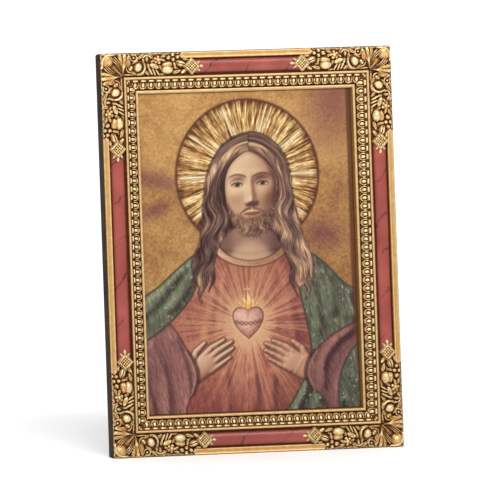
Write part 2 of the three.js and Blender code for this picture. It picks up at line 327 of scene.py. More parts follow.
def four_sides():
    """For each side of the frame: its length, and the map from a distance along it and an inset to x, y."""
    half_w, half_h = WIDTH / 2, HEIGHT / 2
    return [
        ("top", WIDTH, lambda s, q: (s, half_h - q)),
        ("right", HEIGHT, lambda s, q: (half_w - q, -s)),
        ("bottom", WIDTH, lambda s, q: (-s, q - half_h)),
        ("left", HEIGHT, lambda s, q: (q - half_w, s)),
    ]


def ripple(s, q, reach):
    """Three sine waves of unrelated lengths, added: an unevenness that never quite repeats."""
    return reach * (np.sin(0.37 * s + 1.3 * q) + 0.7 * np.sin(0.83 * s - 0.9 * q + 1.7)
                    + 0.5 * np.sin(1.9 * s + 2.3 * q + 0.6)) / 2.2


def bar(name, along, section, place, uneven, **values):
    """A closed straight bar: the section at each distance along, capped by a flat face at both ends."""
    s, q = np.meshgrid(along, section[:, 0], indexing="ij")
    above_foot = section[None, :, 1] > section[:, 1].min() + 0.4
    z = section[None, :, 1] + ripple(s, q, uneven) * above_foot
    index = np.arange(s.size).reshape(s.shape)
    around = np.hstack([index, index[:, :1]])
    faces = quads(around).tolist() + [index[0, ::-1].tolist(), index[-1].tolist()]
    x, y = place(s, q)
    values = {label: np.tile(value, len(along)) for label, value in values.items()}
    return make_piece(name, in_room(x, y, z), faces, **values)


def panel_section():
    """Half an ellipse on a short upright edge."""
    turn = np.linspace(math.pi, 0.0, ARCH_STEPS)
    middle, half = (PANEL_START + PANEL_END) / 2, PANEL / 2 - 0.05
    foot = PANEL_EDGE - 0.25
    arch = np.stack([middle + half * np.cos(turn), foot + (PANEL_TOP - foot) * np.sin(turn)], axis=1)
    return np.vstack([(arch[0, 0], foot - 0.15), arch, (arch[-1, 0], foot - 0.15)])


def make_rails():
    """Four gilt rails and four crimson panels, each from the end of one corner ornament to the next."""
    toned = np.clip((RAIL_SECTION[:, 1] - GROOVE_FLOOR - 0.2) / 1.3, 0.0, FLAT_GILT)
    toned[RIM_LIPS] = LIP_GILT
    section = panel_section()
    # The panels carry their height over the groove, which the crimson turns into painted shade towards the
    # grooves.
    crown = (section[:, 1] - section[:, 1].min()) / np.ptp(section[:, 1])
    rails, panels = [], []
    for side, length, place in four_sides():
        along = np.linspace(RAIL_FROM - length / 2, length / 2 - RAIL_FROM, RAIL_STEPS)
        rails.append(bar(f"{side}_rail", along, RAIL_SECTION, place, RAIL_RIPPLE, proud=toned))
        along = np.linspace(PANEL_FROM - length / 2, length / 2 - PANEL_FROM, PANEL_STEPS)
        panels.append(bar(f"{side}_panel", along, section, place, PANEL_RIPPLE, proud=crown))
    return rails, panels


rails, panels = make_rails()

# %% [markdown]
# ## Egg-and-dart moulding
# Inside the panels runs a flat fillet, then a slope with a row of eggs, each in a U-shaped cup under a short
# bar, with darts between them, and then the plain sight edge and a bevel down to the picture. One egg could
# be repeated by an Array modifier, but a mitre would cut through its last copy. So the carving is a height
# over the slope, in one closed section carried round the four sides, and each side gets whole eggs. On the
# carving the finish goes by how far a point stands out of its surroundings. The fillet, the sight edge and
# the bevel are plain, so theirs is set for each. The left fillet's is lower, a painted shade, and the top
# bevel's is higher, a painted light against the shadow that the top rail casts there.

# %% Section and carving of the moulding
EGG_PITCH, EGG_COLUMNS, SLOPE_STEPS, MITRE_ZONE = 4.45, 14, 25, 8.0
EGG_LINE = SLOPE_START + SLOPE / 2
BAR_RISE, EGG_RISE, CUP_RISE, DART_RISE = 1.4, 1.5, 1.6, 0.5
BAR_AT, EGG_AT, CUP_AT, DART_AT, CUP_OPEN_ABOVE = 0.8, 3.2, 2.9, 3.4, 1.75
MOULDING_FOOT = CARD_FACE - 0.35
FILLET_SECTION = [
    (0.0, MOULDING_FOOT), (0.01, FILLET_TOP - 1.1), (0.08, FILLET_TOP - 0.45), (0.25, FILLET_TOP - 0.12),
    (0.5, FILLET_TOP), (0.8, FILLET_TOP), (1.05, FILLET_TOP - 0.12), (1.25, FILLET_TOP - 0.4),
    (1.4, FILLET_TOP - 0.9),
]
SIGHT_SECTION = [
    (0.02, SIGHT_TOP - 0.6), (0.1, SIGHT_TOP - 0.25), (0.3, SIGHT_TOP - 0.05), (0.6, SIGHT_TOP),
    (0.9, SIGHT_TOP), (1.15, SIGHT_TOP - 0.08), (1.32, SIGHT_TOP - 0.3), (1.4, SIGHT_TOP - 0.7),
    (SIGHT + BEVEL - 0.06, CARD_FACE), (SIGHT + BEVEL - 0.02, MOULDING_FOOT),
]
CARVED_GILT, PLAIN_GILT, SIGHT_GILT, GROOVE_GILT, HOLLOW_GILT = 0.84, 0.71, 0.66, 0.1, 0.05
# The lower left fillet value is painted shade; the higher top bevel value is painted light against the top
# rail's shadow.
FILLET_GILT, LEFT_FILLET_PAINTED_SHADE, BEVEL_GILT, TOP_BEVEL_PAINTED_LIGHT = 0.7, 0.62, 0.42, 0.85


def rounded(share):
    """The height of half a circle over a share from the middle, and 0 beyond its edge."""
    return np.sqrt(np.clip(1.0 - share ** 2, 0.0, None))


def egg_and_dart(s, v, to_mitre, pitch):
    """The slope's height at s along and v across it. The ground falls evenly to a groove at its foot. On it
    stand, whichever is the highest, a bar, an egg, its cup (a ring round the egg, open on top), and a dart
    half-way to the next egg. All of them sink to the ground close to a mitre."""
    ground = SLOPE_TOP - (SLOPE_TOP - SLOPE_FOOT) * v / SLOPE - 0.5 * rounded((v - 5.4) / 0.5)
    a = ((s / pitch + 0.5) % 1.0 - 0.5) * pitch
    dash = BAR_RISE * rounded(a / 1.5) ** 0.4 * rounded((v - BAR_AT) / 0.6) ** 0.7
    egg = EGG_RISE * rounded(np.hypot(a / 1.1, (v - EGG_AT) / 1.5)) ** 0.7
    from_egg = np.hypot(a / 2.0, (v - CUP_AT) / 2.3)
    cup = CUP_RISE * rounded((from_egg - 0.87) / 0.17) ** 0.7 * (v > CUP_OPEN_ABOVE)
    b = pitch / 2 - np.abs(a)
    dart = DART_RISE * rounded(b / 0.26) * rounded((v - DART_AT) / 1.7)
    keep = np.clip((to_mitre - 0.1) / 0.4, 0.0, 1.0)
    return ground + keep * np.maximum.reduce([dash, egg, cup, dart])


# %% [markdown]
# Each side gets as many whole eggs as fit it best, and its columns are spread evenly except near the mitres.

# %% Four sides with whole eggs
def moulding_side(length, units):
    """Distances along one side for every inset: even steps, but drawn out or closed up near both mitres so
    that the last step lies on the mitre of that inset."""
    reference = length / 2 - EGG_LINE
    steps = np.linspace(-reference, reference, units * EGG_COLUMNS, endpoint=False)
    keep = reference - MITRE_ZONE

    def at(inset):
        """The distances along the side at this inset."""
        stretch = (length / 2 - inset - keep) / MITRE_ZONE
        past = np.clip(np.abs(steps) - keep, 0.0, None)
        return np.sign(steps) * (np.minimum(np.abs(steps), keep) + past * stretch)

    return at


def make_moulding():
    """Fillet, slope and sight edge as one section, with the eggs fitted to each side's length."""
    across = np.linspace(0.0, SLOPE, SLOPE_STEPS)
    fillet, sight = np.array(FILLET_SECTION), np.array(SIGHT_SECTION)
    insets = np.concatenate([FILLET_START + fillet[:, 0], SLOPE_START + across, SIGHT_START + sight[:, 0]])
    plain = np.concatenate([fillet[:, 1], np.zeros(SLOPE_STEPS), sight[:, 1]])
    xs, ys, zs, fillet_gilt_and_shade, bevel_gilt_and_light = [], [], [], [], []
    for side, length, place in four_sides():
        units = round((length - 2 * EGG_LINE) / EGG_PITCH)
        pitch = (length - 2 * EGG_LINE) / units
        at = moulding_side(length, units)
        s = np.stack([at(inset) for inset in insets], axis=1)
        q = np.broadcast_to(insets, s.shape)
        shift = 0.0 if units % 2 else pitch / 2
        relief = egg_and_dart(s + shift, q - SLOPE_START, length / 2 - q - np.abs(s), pitch)
        level = plain + ripple(s, q, MOULDING_RIPPLE) * (plain > CARD_FACE + 0.1)
        on_slope = (q >= SLOPE_START) & (q <= SIGHT_START)
        x, y = place(s, q)
        xs.append(x)
        ys.append(y)
        zs.append(np.where(on_slope, relief, level))
        # The left side's fillet gets painted shade and the top side's bevel gets painted light.
        fillet_gilt_and_shade.append(np.full((len(s), 1), LEFT_FILLET_PAINTED_SHADE if side == "left" else FILLET_GILT))
        bevel_gilt_and_light.append(np.full((len(s), 1), TOP_BEVEL_PAINTED_LIGHT if side == "top" else BEVEL_GILT))
    x, y, z = np.vstack(xs), np.vstack(ys), np.vstack(zs)
    stands = np.clip(1.4 * proud(z, 3, 1.3) - 0.28, 0.0, CARVED_GILT)
    stands[:, :2] = GROOVE_GILT
    stands[:, 2:8] = np.clip(stands[:, 2:8], np.vstack(fillet_gilt_and_shade), PLAIN_GILT)
    stands[:, 8:10] = HOLLOW_GILT
    stands[:, -9:-4] = np.clip(stands[:, -9:-4], SIGHT_GILT, PLAIN_GILT)
    stands[:, -3:] = np.vstack(bevel_gilt_and_light)
    points, faces = closed_ring(x, y, z)
    return make_piece("inner_moulding", points, faces, crease=60.0, proud=stands.ravel())


inner_moulding = make_moulding()

# %% [markdown]
# ## The corner ornaments
# Each corner is carved with a ball in a rolled lip on its outer point, ribs and a broad leaf that spring from
# the inner corner, and then, along both arms alike, fruit, leaf sprays, a blossom, berries and a bud, down to
# a lattice basket with a forked tip. It could be sculpted with brushes. As formulas, every motif keeps its
# size and place and can be changed by itself. All of it is one height over the chart of an arm: p runs along
# the arm from the outer corner and q is the inset from the edge. Every motif rises from a ground, and the
# highest one counts. The second arm is the first one mirrored in the corner's diagonal.

# %% Fruit, leaves and crescents
GROUND = RIM_TOP - 2.5
VEIN_STEP, STRIP_STEP = 0.85, 1.15
SPRING = 12.2
LIP_FROM, LIP_UNTIL, SMOOTH_UNTIL, ROUGH_UNTIL = 7.0, RAIL_FROM - 0.2, 8.5, RAIL_FROM + 0.4


def turned(p, q, at, degrees):
    """Distances along and across a motif whose long side is turned from p towards q."""
    c, s = math.cos(math.radians(degrees)), math.sin(math.radians(degrees))
    return (p - at[0]) * c + (q - at[1]) * s, (q - at[1]) * c - (p - at[0]) * s


def motif(share, top, detail=0.0):
    """From the ground up to its top where share is 1, with its detail faded out towards the foot."""
    return np.where(share > 0.0, GROUND + (RIM_TOP + top - GROUND + detail) * share, 0.0)


def fruit(p, q, at, size, degrees, top, cleft):
    """Half an ellipsoid, made a little fuller, and narrower at its near end. Its cleft is as deep as given: a
    bell curve across."""
    a, b = turned(p, q, at, degrees)
    taper = 1.0 - 0.22 * np.clip(-a / size[0], 0.0, 1.0) ** 2
    share = rounded(np.hypot(a / size[0], b / (size[1] * taper))) ** 0.75
    return motif(share, top, -cleft * bell(b / 0.22))


def leaf(p, q, at, size, degrees, top):
    """A pointed leaf with a broad base: a roof with a groove along its midrib, and slanting veins."""
    a, b = turned(p, q, at, degrees)
    along = np.clip(a / size[0], -1.0, 1.0)
    width = size[1] * (1.0 - along ** 2) ** 0.7 * (1.0 - 0.35 * along)
    share = np.clip(1.0 - (np.abs(b) / np.maximum(width, 0.01)) ** 2.4, 0.0, 1.0) ** 0.45
    share = share * (np.abs(a) < size[0])
    veins = 0.22 * np.cos((a + 0.9 * np.abs(b)) * 2 * math.pi / VEIN_STEP)
    return motif(share, top + 0.45, veins - 0.8 * bell(b / 0.18))


def striped(p, q, at, size, degrees, top, stripes):
    """A long leaf, fluted lengthways by a cosine across it."""
    a, b = turned(p, q, at, degrees)
    along = np.clip(a / size[0], -1.0, 1.0)
    width = size[1] * (1.0 - along ** 2) ** 0.6
    across = b / np.maximum(width, 0.01)
    share = np.clip(1.0 - np.abs(across) ** 3, 0.0, 1.0) ** 0.5 * (np.abs(a) < size[0])
    flutes = 0.55 * (np.abs(np.cos(across * stripes * math.pi / 2)) ** 0.6 - 0.7)
    return motif(share, top, flutes)


def crescent(p, q, at, radius, half_width, degrees, reach, top):
    """Part of a ring with a round section, widest in its middle and pointed at both ends."""
    a, b = turned(p, q, at, degrees)
    angle = np.arctan2(b, a) / math.radians(reach)
    thin = half_width * rounded(angle) ** 0.7
    share = rounded((np.hypot(a, b) - radius) / np.maximum(thin, 0.01)) ** 0.8
    return motif(share * (np.abs(angle) < 1.0), top)


# %% [markdown]
# Three motifs stand once on an arm. Each has an outline of its own, so each gets its own formula.

# %% Blossom, bud and basket
def blossom(p, q, at, radius, petals, top):
    """Petals round an eye. Their reach follows the cosine of the angle, and grooves part them."""
    a, b = p - at[0], q - at[1]
    far, angle = np.hypot(a, b), np.arctan2(b, a)
    petal = np.abs(np.cos(angle * petals / 2 + 0.4)) ** 0.7
    share = rounded(far / (radius * (0.35 + 0.7 * petal ** 0.5))) ** 0.6
    dish = -0.45 * bell((far - 0.45 * radius) / (0.18 * radius)) - 0.9 * bell(petal / 0.22)
    eye = motif(rounded(far / (0.28 * radius)), top + 0.1)
    return np.maximum(motif(share, top, dish), eye)


def bud(p, q, at, size, degrees, top):
    """An oval with a slit along its middle and a fine groove round it."""
    a, b = turned(p, q, at, degrees)
    from_middle = np.hypot(a / size[0], b / size[1])
    slit = -1.3 * bell((b - 0.1) / 0.2) * (np.abs(a) < 0.75 * size[0])
    rim = -0.6 * bell((from_middle - 0.72) / 0.08)
    return motif(rounded(from_middle) ** 0.7, top, slit + rim)


def lattice(p, q, at, size, top):
    """A basket: a diamond with a double border, crossed by two sets of slanting strips."""
    a, b = p - at[0], q - at[1]
    inside = 1.0 - np.abs(a) / size[0] - np.abs(b) / size[1]
    strip = math.pi / STRIP_STEP
    one = np.abs(np.cos(strip * (a + b) / math.sqrt(2)))
    other = np.abs(np.cos(strip * (a - b) / math.sqrt(2)))
    under = np.sin(strip * a * 0.71) * np.sin(strip * b * 0.71)
    weave = 1.1 * np.maximum(one - 0.15 * under, other + 0.15 * under) ** 1.5 - 1.1
    border = 1.0 * (rounded((inside - 0.07) / 0.06) + rounded((inside - 0.22) / 0.06)) - 0.9
    share = np.clip(inside / 0.04, 0.0, 1.0) ** 0.5
    return motif(share, top, np.where(inside > 0.285, weave, border))


# %% [markdown]
# The corner proper is symmetrical about its diagonal: the ball and its lip outside, then the web. Ribs and
# broad leaf fan out from the inner corner, so they are worked out in distance and angle from that point.

# %% Ball, ribs, broad leaf and web
def shell(p, q):
    """The outer corner: a round ball in a rolled lip, with a deep gap between. Inwards it ends in lobes."""
    out = (p + q) / math.sqrt(2)
    side = np.abs(p - q) / math.sqrt(2)
    end = 9.3 - 0.1 * side ** 2 - 0.9 * bell((side - 1.9) / 0.45)
    share = rounded(np.clip(out / end, 0.0, 1.0)) ** 0.3 * (side < 5.8)
    ball = 2.9 * rounded(np.hypot((out - 5.7) / 3.5, side / 3.9)) ** 0.8 - 1.9
    cove = np.hypot(np.clip(5.6 - p, 0, None), np.clip(5.6 - q, 0, None))
    lip = 1.9 * rounded((cove - 4.9) / 0.85) - 1.3
    lobes = 1.3 * rounded((out - 9.0) / 1.0) - 1.1
    flutes = -0.7 * bell((side - 1.9) / 0.3) * np.clip((out - 7.5) / 1.0, 0, 1)
    return motif(share, 0.9, np.maximum.reduce([ball, lip, lobes]) + flutes)


def ribs(p, q):
    """Three thin ribs that spring from the inner corner and bend apart on their way to the outer edge."""
    a, b = SPRING - p, SPRING - q
    far = np.hypot(a, b)
    angle = np.degrees(np.arctan2(b, a)) - 45.0 + 0.16 * (far - 1.0) ** 2 - 4.0
    wave = (angle - 20.0) / 7.0
    near = np.abs(wave - np.clip(np.round(wave), 0.0, 2.0)) / 0.42
    reach = rounded(np.clip((far - 5.2) / 6.6, -1, 1)) ** 0.4
    return motif(rounded(near) ** 0.8 * reach, -0.5 + 0.16 * far)


def broad_leaf(p, q):
    """A broad leaf next to the ribs, on a narrow stalk: three round lobes at the outer edge, grooves between
    them and a vein up each."""
    a, b = p - SPRING - 0.1, SPRING - q
    far, turn = np.hypot(a, b), np.degrees(np.arctan2(b, a))
    lobe = np.abs(np.cos(np.radians((turn - 83.0) * 180.0 / 14.0)))
    reach = 12.8 * (0.80 + 0.20 * lobe ** 0.6) - 0.05 * np.clip(80.0 - turn, 0.0, None)
    half = 7.0 + 16.0 * ease(3.0, 7.5, far)
    share = rounded(far / reach) ** 0.35 * rounded((turn - 82.0) / half) ** 0.35
    groove = -1.2 * bell(lobe / 0.22) * ease(4.0, 9.0, far)
    vein = -0.35 * bell((1.0 - lobe) / 0.03) * (0.5 + 0.5 * np.cos(far * 2.6))
    return motif(share, 0.6 + 0.09 * far, groove + vein)


def stem(p, q):
    """A web on the diagonal that narrows from the shell to the inner corner."""
    out = (p + q) / math.sqrt(2)
    side = (p - q) / math.sqrt(2)
    half = 0.3 + 0.36 * np.clip(17.2 - out, 0.0, None)
    share = rounded(side / half) ** 0.8 * rounded(np.clip((out - 13.4) / 4.2, -1, 1)) ** 0.3
    return motif(share, -0.4, 0.5 * bell(side / 0.4))


# %% [markdown]
# The repeated motifs are lists: where the middle lies on the chart, the half length and half width, how far
# the long side is turned towards the inner edge, and how far the top stands over the rim. A fruit also has
# the depth of its cleft and a fluted leaf the number of its flutes. A crescent has a radius, a half width,
# its direction, half the angle that it spans, and its top.

# %% One arm's motifs
FRUIT = [
    ((17.0, 8.3), (1.7, 2.1), 30, 0.9, 0.5), ((21.0, 7.8), (2.6, 2.9), 12, 2.1, 0.0),
    ((37.6, 6.9), (3.5, 2.2), -6, 1.4, 0.3), ((37.5, 9.4), (3.8, 2.6), 3, 2.2, 0.0),
    ((56.6, 8.0), (1.8, 1.05), 0, 1.3, 0.0), ((18.8, 2.7), (0.95, 0.95), 0, 0.7, 0.0),
    ((38.4, 2.9), (1.65, 1.5), 20, 0.8, 0.6), ((41.1, 1.5), (1.35, 1.2), 0, 0.5, 0.5),
    ((41.2, 4.2), (1.35, 1.3), 0, 0.7, 0.5), ((43.7, 2.8), (1.4, 1.35), 40, 0.6, 0.5),
    ((44.0, 0.8), (1.1, 0.8), 0, 0.0, 0.0),
]
FLUTED_LEAVES = [
    ((16.6, 11.7), (3.6, 0.8), 2, -0.3, 2), ((30.2, 7.4), (2.6, 1.7), 22, 1.1, 3),
    ((28.0, 9.9), (2.5, 1.0), 62, 0.6, 2), ((30.0, 10.5), (2.2, 0.85), 66, 0.6, 2),
    ((32.0, 10.7), (2.1, 0.8), 58, 0.5, 2), ((47.4, 10.2), (2.4, 1.3), -35, 0.4, 3),
]
LEAVES = [
    ((19.6, 4.9), (1.9, 0.9), 150, 0.7), ((18.6, 10.9), (2.0, 0.9), 32, 0.5),
    ((15.8, 6.0), (2.2, 1.2), 100, 0.6), ((18.2, 1.2), (1.5, 0.8), 60, 0.0),
    ((16.9, 3.2), (1.5, 0.8), 75, 0.2), ((22.6, 11.4), (2.4, 1.0), -5, 0.3),
    ((26.0, 10.9), (1.9, 1.0), 40, 0.4), ((26.9, 7.4), (1.6, 0.9), 80, 0.5),
    ((33.8, 8.4), (1.7, 0.9), 60, 0.6), ((24.7, 6.4), (1.5, 0.8), 70, 0.4),
    ((42.4, 8.7), (1.5, 0.8), 20, 0.2), ((34.6, 11.9), (2.0, 0.7), 12, -0.2),
    ((41.8, 7.4), (2.0, 0.9), 78, 0.6), ((43.0, 10.6), (2.6, 1.2), -14, 0.4),
    ((48.6, 4.4), (2.3, 0.8), 12, 0.1), ((55.0, 6.1), (1.5, 0.8), -40, 1.0),
    ((55.0, 9.9), (1.5, 0.8), 40, 1.0),
]
LEAVES_ALONG_RIM = [
    ((22.3, 2.4), (2.3, 1.2), 150, 0.5), ((21.4, 0.9), (1.9, 0.9), 10, 0.0),
    ((24.4, 1.2), (1.8, 0.9), -12, 0.0), ((24.1, 4.4), (1.3, 0.8), 100, 0.4),
    ((26.2, 3.6), (1.5, 0.9), 90, 0.5), ((28.9, 2.2), (1.9, 1.1), 60, 0.4),
    ((28.2, 0.9), (1.7, 0.9), 5, 0.0), ((31.2, 1.0), (1.7, 0.9), -10, 0.0),
    ((29.4, 4.7), (1.4, 0.8), 140, 0.4), ((35.5, 2.1), (1.9, 1.1), 160, 0.4),
    ((34.6, 0.8), (1.7, 0.8), 8, 0.0), ((35.6, 4.4), (1.5, 0.9), 30, 0.4),
    ((37.9, 0.9), (1.6, 0.8), -8, 0.0), ((46.0, 2.2), (1.6, 1.0), 30, 0.2),
]
CRESCENTS = [
    ((17.2, 8.0), 2.6, 0.55, 160, 80, 0.3), ((21.3, 7.9), 3.5, 0.95, 28, 46, 1.3),
    ((18.8, 2.7), 1.7, 0.65, 30, 160, 0.6), ((26.2, 3.9), 2.3, 0.75, -90, 75, 0.8),
]
REPEATED = (fruit, FRUIT), (striped, FLUTED_LEAVES), (leaf, LEAVES + LEAVES_ALONG_RIM), (crescent, CRESCENTS)
print(sum(len(group) for _, group in REPEATED), "repeated motifs on each arm")


def arm(p, q):
    """The highest of an arm's motifs at each point of the chart: the single ones, and the repeated ones."""
    mound = motif(rounded(np.hypot((p - 21.2) / 4.1, (q - 7.8) / 4.1)) ** 0.3, -0.3)
    single = [
        ribs(p, q), broad_leaf(p, q), mound, blossom(p, q, (32.3, 4.1), 2.8, 5, 1.2),
        bud(p, q, (45.6, 6.5), (3.4, 2.0), 18, 1.4), lattice(p, q, (51.2, 8.0), (5.0, 4.7), 1.5),
    ]
    repeated = [kind(p, q, *values) for kind, group in REPEATED for values in group]
    return np.maximum.reduce(single + repeated)


def carved(p, q):
    """Both arms, the shell and the stem, a beaded lip along the outline, and a rough ground that sinks below
    the rails where these begin."""
    along, across = np.maximum(p, q), np.minimum(p, q)
    past_rim = (along < PANEL_FROM - 0.1) & (across > RIM + 0.4)
    ground = np.where((along < RAIL_FROM) | past_rim, RIM_TOP - 1.4, RIM_TOP - 2.4)
    ground = ground + 0.6 * (grain(p, q, 0.9) - 0.5) * (along < ROUGH_UNTIL)
    beads = 0.35 * np.sin(2.9 * along) + 0.2 * np.sin(4.7 * along + 1.0)
    on_lip = (along > LIP_FROM) * (along < LIP_UNTIL)
    lip = (RIM_TOP - 0.5 + beads) * rounded((across - 0.5) / 0.5) * on_lip
    height = np.maximum.reduce([ground, lip, arm(p, q), arm(q, p), shell(p, q), stem(p, q)])
    return height + 0.12 * (grain(p, q, 0.7, 3.0) - 0.5) * (along < ROUGH_UNTIL) * (along > SMOOTH_UNTIL)


# %% [markdown]
# A corner's finish goes by height, by how far a point stands out of its surroundings, and by a mottle. Its
# outer edge is rubbed bright, and the ball and the broad leaf beside it are kept a little darker.

# %% Four carved corners
CARVED_LENGTH, CARVED_STEP, MIDDLE_INSET = 58.4, 0.2, 6.0
CARVED_INNER = FILLET_START - 0.06


def corner_chart():
    """Grid points of an L. Across the arm they run from the outer edge to the fillet, and along it from the
    diagonal to the tip of one arm, and on the other side of the diagonal to the tip of the other."""
    q = np.linspace(0.0, CARVED_INNER, round(CARVED_INNER / CARVED_STEP) + 1)
    s = np.linspace(-1.0, 1.0, 2 * round((CARVED_LENGTH - MIDDLE_INSET) / CARVED_STEP) + 1)
    s, q = np.meshgrid(s, q, indexing="ij")
    along = q + (CARVED_LENGTH - q) * np.abs(s)
    return np.where(s >= 0, along, q), np.where(s >= 0, q, along)


def make_corner(name, side, level):
    """The chart's height, mirrored to its own corner. Its outline is uneven by a few tenths of a millimetre
    and drops over to the side, as on a casting that was trimmed by hand."""
    p, q = corner_chart()
    along, across = np.maximum(p, q), np.minimum(p, q)
    height = carved(p, q)
    stands = 0.18 * (height - RIM_TOP + 2.0) - 0.03 + 0.66 * (height - smoothed(height, 5))
    toned = np.exp(-(np.hypot(p - 4.0, q - 4.0) / 3.2) ** 4)
    toned += 0.5 * np.exp(-((along - 13.3) / 3.0) ** 4 - ((across - 4.0) / 4.5) ** 4)
    stands = np.minimum(stands, 1.0 - 0.2 * toned)
    mottle = 0.26 * (grain(p, q, 0.8, 6.0) - 0.5) * ease(6.0, 9.5, along)
    gilded_edge = 0.85 * bell((across - 0.4) / 0.35)
    stands = np.clip(np.maximum(stands + mottle, gilded_edge), 0.0, 1.0)
    nibbled = 0.1 + 0.25 * (0.5 + 0.5 * np.sin(1.9 * p + 2.3 * q)) ** 2
    inset_p = p + nibbled * np.clip(1.0 - p / 2.5, 0.0, 1.0)
    inset_q = q + nibbled * np.clip(1.0 - q / 2.5, 0.0, 1.0)
    drop = np.clip(1.0 - across / 0.55, 0.0, 1.0) ** 2
    height = height - drop * np.clip(height - (EDGE - 0.4), 0.0, None)
    x, y = side * (WIDTH / 2 - inset_p), level * (HEIGHT / 2 - inset_q)
    points, faces, edge = on_base(x, y, height, RAIL_FOOT)
    values = np.concatenate([stands.ravel(), np.zeros(edge.size)])
    return make_piece(name, points, faces, crease=75.0, proud=values)


CORNERS = ("top_left", -1, 1), ("top_right", 1, 1), ("bottom_right", 1, -1), ("bottom_left", -1, -1)
corners = [make_corner(f"{place}_corner", side, level) for place, side, level in CORNERS]

# %% [markdown]
# ## The printed picture
# The card is a print: flat, with a painted look. It could be an image, but here every stroke is worked out.
# The card's front is a fine grid, and the painter below gives each of its points a colour, layer over layer,
# as on a real panel: ground, halo, robe, heart, mantle, hands, hair and face. Colours are display colours
# from 0 to 255, and what looks round is a relief that is lit from the upper left.

# %% Paint in layers
def over(under, paint, cover):
    """Paint laid over what is there, with its cover from 0 to 1 at each point."""
    return under + (paint - under) * np.clip(cover, 0.0, 1.0)[..., None]


def colour_of(red, green, blue):
    """One display colour from 0 to 255, as shares of full light."""
    return np.array([red, green, blue]) / 255.0


def shades(tone, *colours):
    """Display colours 0-255 on an even scale from the darkest at tone 0 to the lightest at tone 1."""
    places = np.linspace(0.0, 1.0, len(colours))
    return np.stack([np.interp(tone, places, channel) for channel in np.array(colours).T / 255.0], axis=-1)


# %% [markdown]
# Outlines and folds are smooth curves through a few points, in millimetres from the card's middle, as a
# draughtsman would set them down. A shape's cover comes from how deep a point lies inside its outline, which
# also gives the dark drawn edge.

# %% Lines and outlines
LINE_STEPS, BEYOND_REACH = 7, 99.0


def smooth_line(points, closed=False):
    """A Catmull-Rom curve: between two points, the cubic whose slopes there follow their neighbours."""
    p = np.array(points, dtype=float)
    p = np.vstack([p[-1], p, p[:2]]) if closed else np.vstack([2 * p[0] - p[1], p, 2 * p[-1] - p[-2]])
    t = np.linspace(0.0, 1.0, LINE_STEPS, endpoint=False)[None, :, None]
    a, b, c, d = (k[:, None, :] for k in (p[:-3], p[1:-2], p[2:-1], p[3:]))
    square, cube = 2 * a - 5 * b + 4 * c - d, 3 * b - a - 3 * c + d
    line = 0.5 * (2 * b + (c - a) * t + square * t ** 2 + cube * t ** 3)
    return np.vstack([line.reshape(-1, 2), p[-2]])


def to_line(x, y, line, reach):
    """Each point's distance to a line of short steps, and how far along the line from 0 to 1 the nearest
    place is. Beyond the reach the distance is only said to be large."""
    far, along = np.full(x.shape, BEYOND_REACH), np.zeros(x.shape)
    low, high = line.min(axis=0) - reach, line.max(axis=0) + reach
    rows = np.flatnonzero((y[:, 0] > low[1]) & (y[:, 0] < high[1]))
    columns = np.flatnonzero((x[0] > low[0]) & (x[0] < high[0]))
    if len(rows) == 0 or len(columns) == 0:
        return far, along
    window = np.s_[rows[0]:rows[-1] + 1, columns[0]:columns[-1] + 1]
    px, py, best, place = x[window], y[window], far[window], along[window]
    count = len(line) - 1
    for number, (start, end) in enumerate(zip(line[:-1], line[1:])):
        dx, dy = end - start
        t = np.clip(((px - start[0]) * dx + (py - start[1]) * dy) / (dx * dx + dy * dy), 0.0, 1.0)
        distance = np.hypot(px - start[0] - t * dx, py - start[1] - t * dy)
        nearer = distance < best
        best[nearer] = distance[nearer]
        place[nearer] = (number + t[nearer]) / count
    return far, along


def within(x, y, points, reach):
    """How deep each point lies inside a smooth outline, less than 0 outside it: the distance to the line,
    with the sign of an even-odd count of the line's crossings to the right."""
    line = smooth_line(points, closed=True)
    far, _ = to_line(x, y, line, reach)
    odd = np.zeros(x.shape, dtype=bool)
    for (x0, y0), (x1, y1) in zip(line[:-1], line[1:]):
        if y0 != y1:
            rows = np.flatnonzero((y[:, 0] > min(y0, y1)) & (y[:, 0] <= max(y0, y1)))
            cross = x0 + (y[rows] - y0) * (x1 - x0) / (y1 - y0)
            odd[rows] ^= x[rows] < cross
    return np.where(odd, far, -far)


def stroke(x, y, points, width, taper=0.6):
    """The cover of one brush stroke, 1 in its middle and 0 at its width, thinner towards both ends."""
    far, along = to_line(x, y, smooth_line(points), width + 1.0)
    half = width * (1.0 - taper * np.abs(2.0 * along - 1.0) ** 2)
    return 1.0 - ease(0.25, 1.0, far / half)


def lit(x, y, height, side=-0.5, above=0.62, front=0.6):
    """How much light from the upper left a relief catches: its slope against the light's direction."""
    slope_y, slope_x = np.gradient(height, y[:, 0], x[0])
    facing = front - side * slope_x - above * slope_y
    return np.clip(facing / np.sqrt(1.0 + slope_x ** 2 + slope_y ** 2), 0.0, 1.2)


def folds(x, y, ridges):
    """Cloth relief: the sum of soft ridges, each a given line with a width and a height."""
    total = np.zeros(x.shape)
    for width, rise, points in ridges:
        far, along = to_line(x, y, smooth_line(points), 3.0 * width)
        total += rise * bell(far / width) * ease(0.0, 0.15, along) * ease(0.0, 0.15, 1.0 - along)
    return total


# %% [markdown]
# The ground is aged ochre with plum clouds: where each lies, how wide and tall it is, how it leans and how
# strong it is. The halo is a disc of gold leaf that is scored outwards from its centre, which is noise
# stretched along the radius, with ten bright rays.

# %% Ground and halo
HALO_X, HALO_Y, HALO_RADIUS = 0.3, 41.0, 41.0
RAYS = (-158, -126, -91, -56, -20, 18, 54, 90, 124, 158)
print(f"halo {2 * HALO_RADIUS:.0f} mm across with {len(RAYS)} rays")
CLOUDS = [
    (50, 78, 15, 22, 0.0, 1.35), (42, 8, 12, 8, 0.3, 1.35), (-54, 40, 16, 4.5, 0.25, 1.35),
    (50, 28, 3.0, 14, 0.35, 0.5), (-52, 24, 10, 4, -0.4, 1.35),
]


def from_centre(x, y, centre_x, centre_y):
    """Distance from a centre, and direction as the angle from straight up."""
    return np.hypot(x - centre_x, y - centre_y), np.arctan2(x - centre_x, y - centre_y)


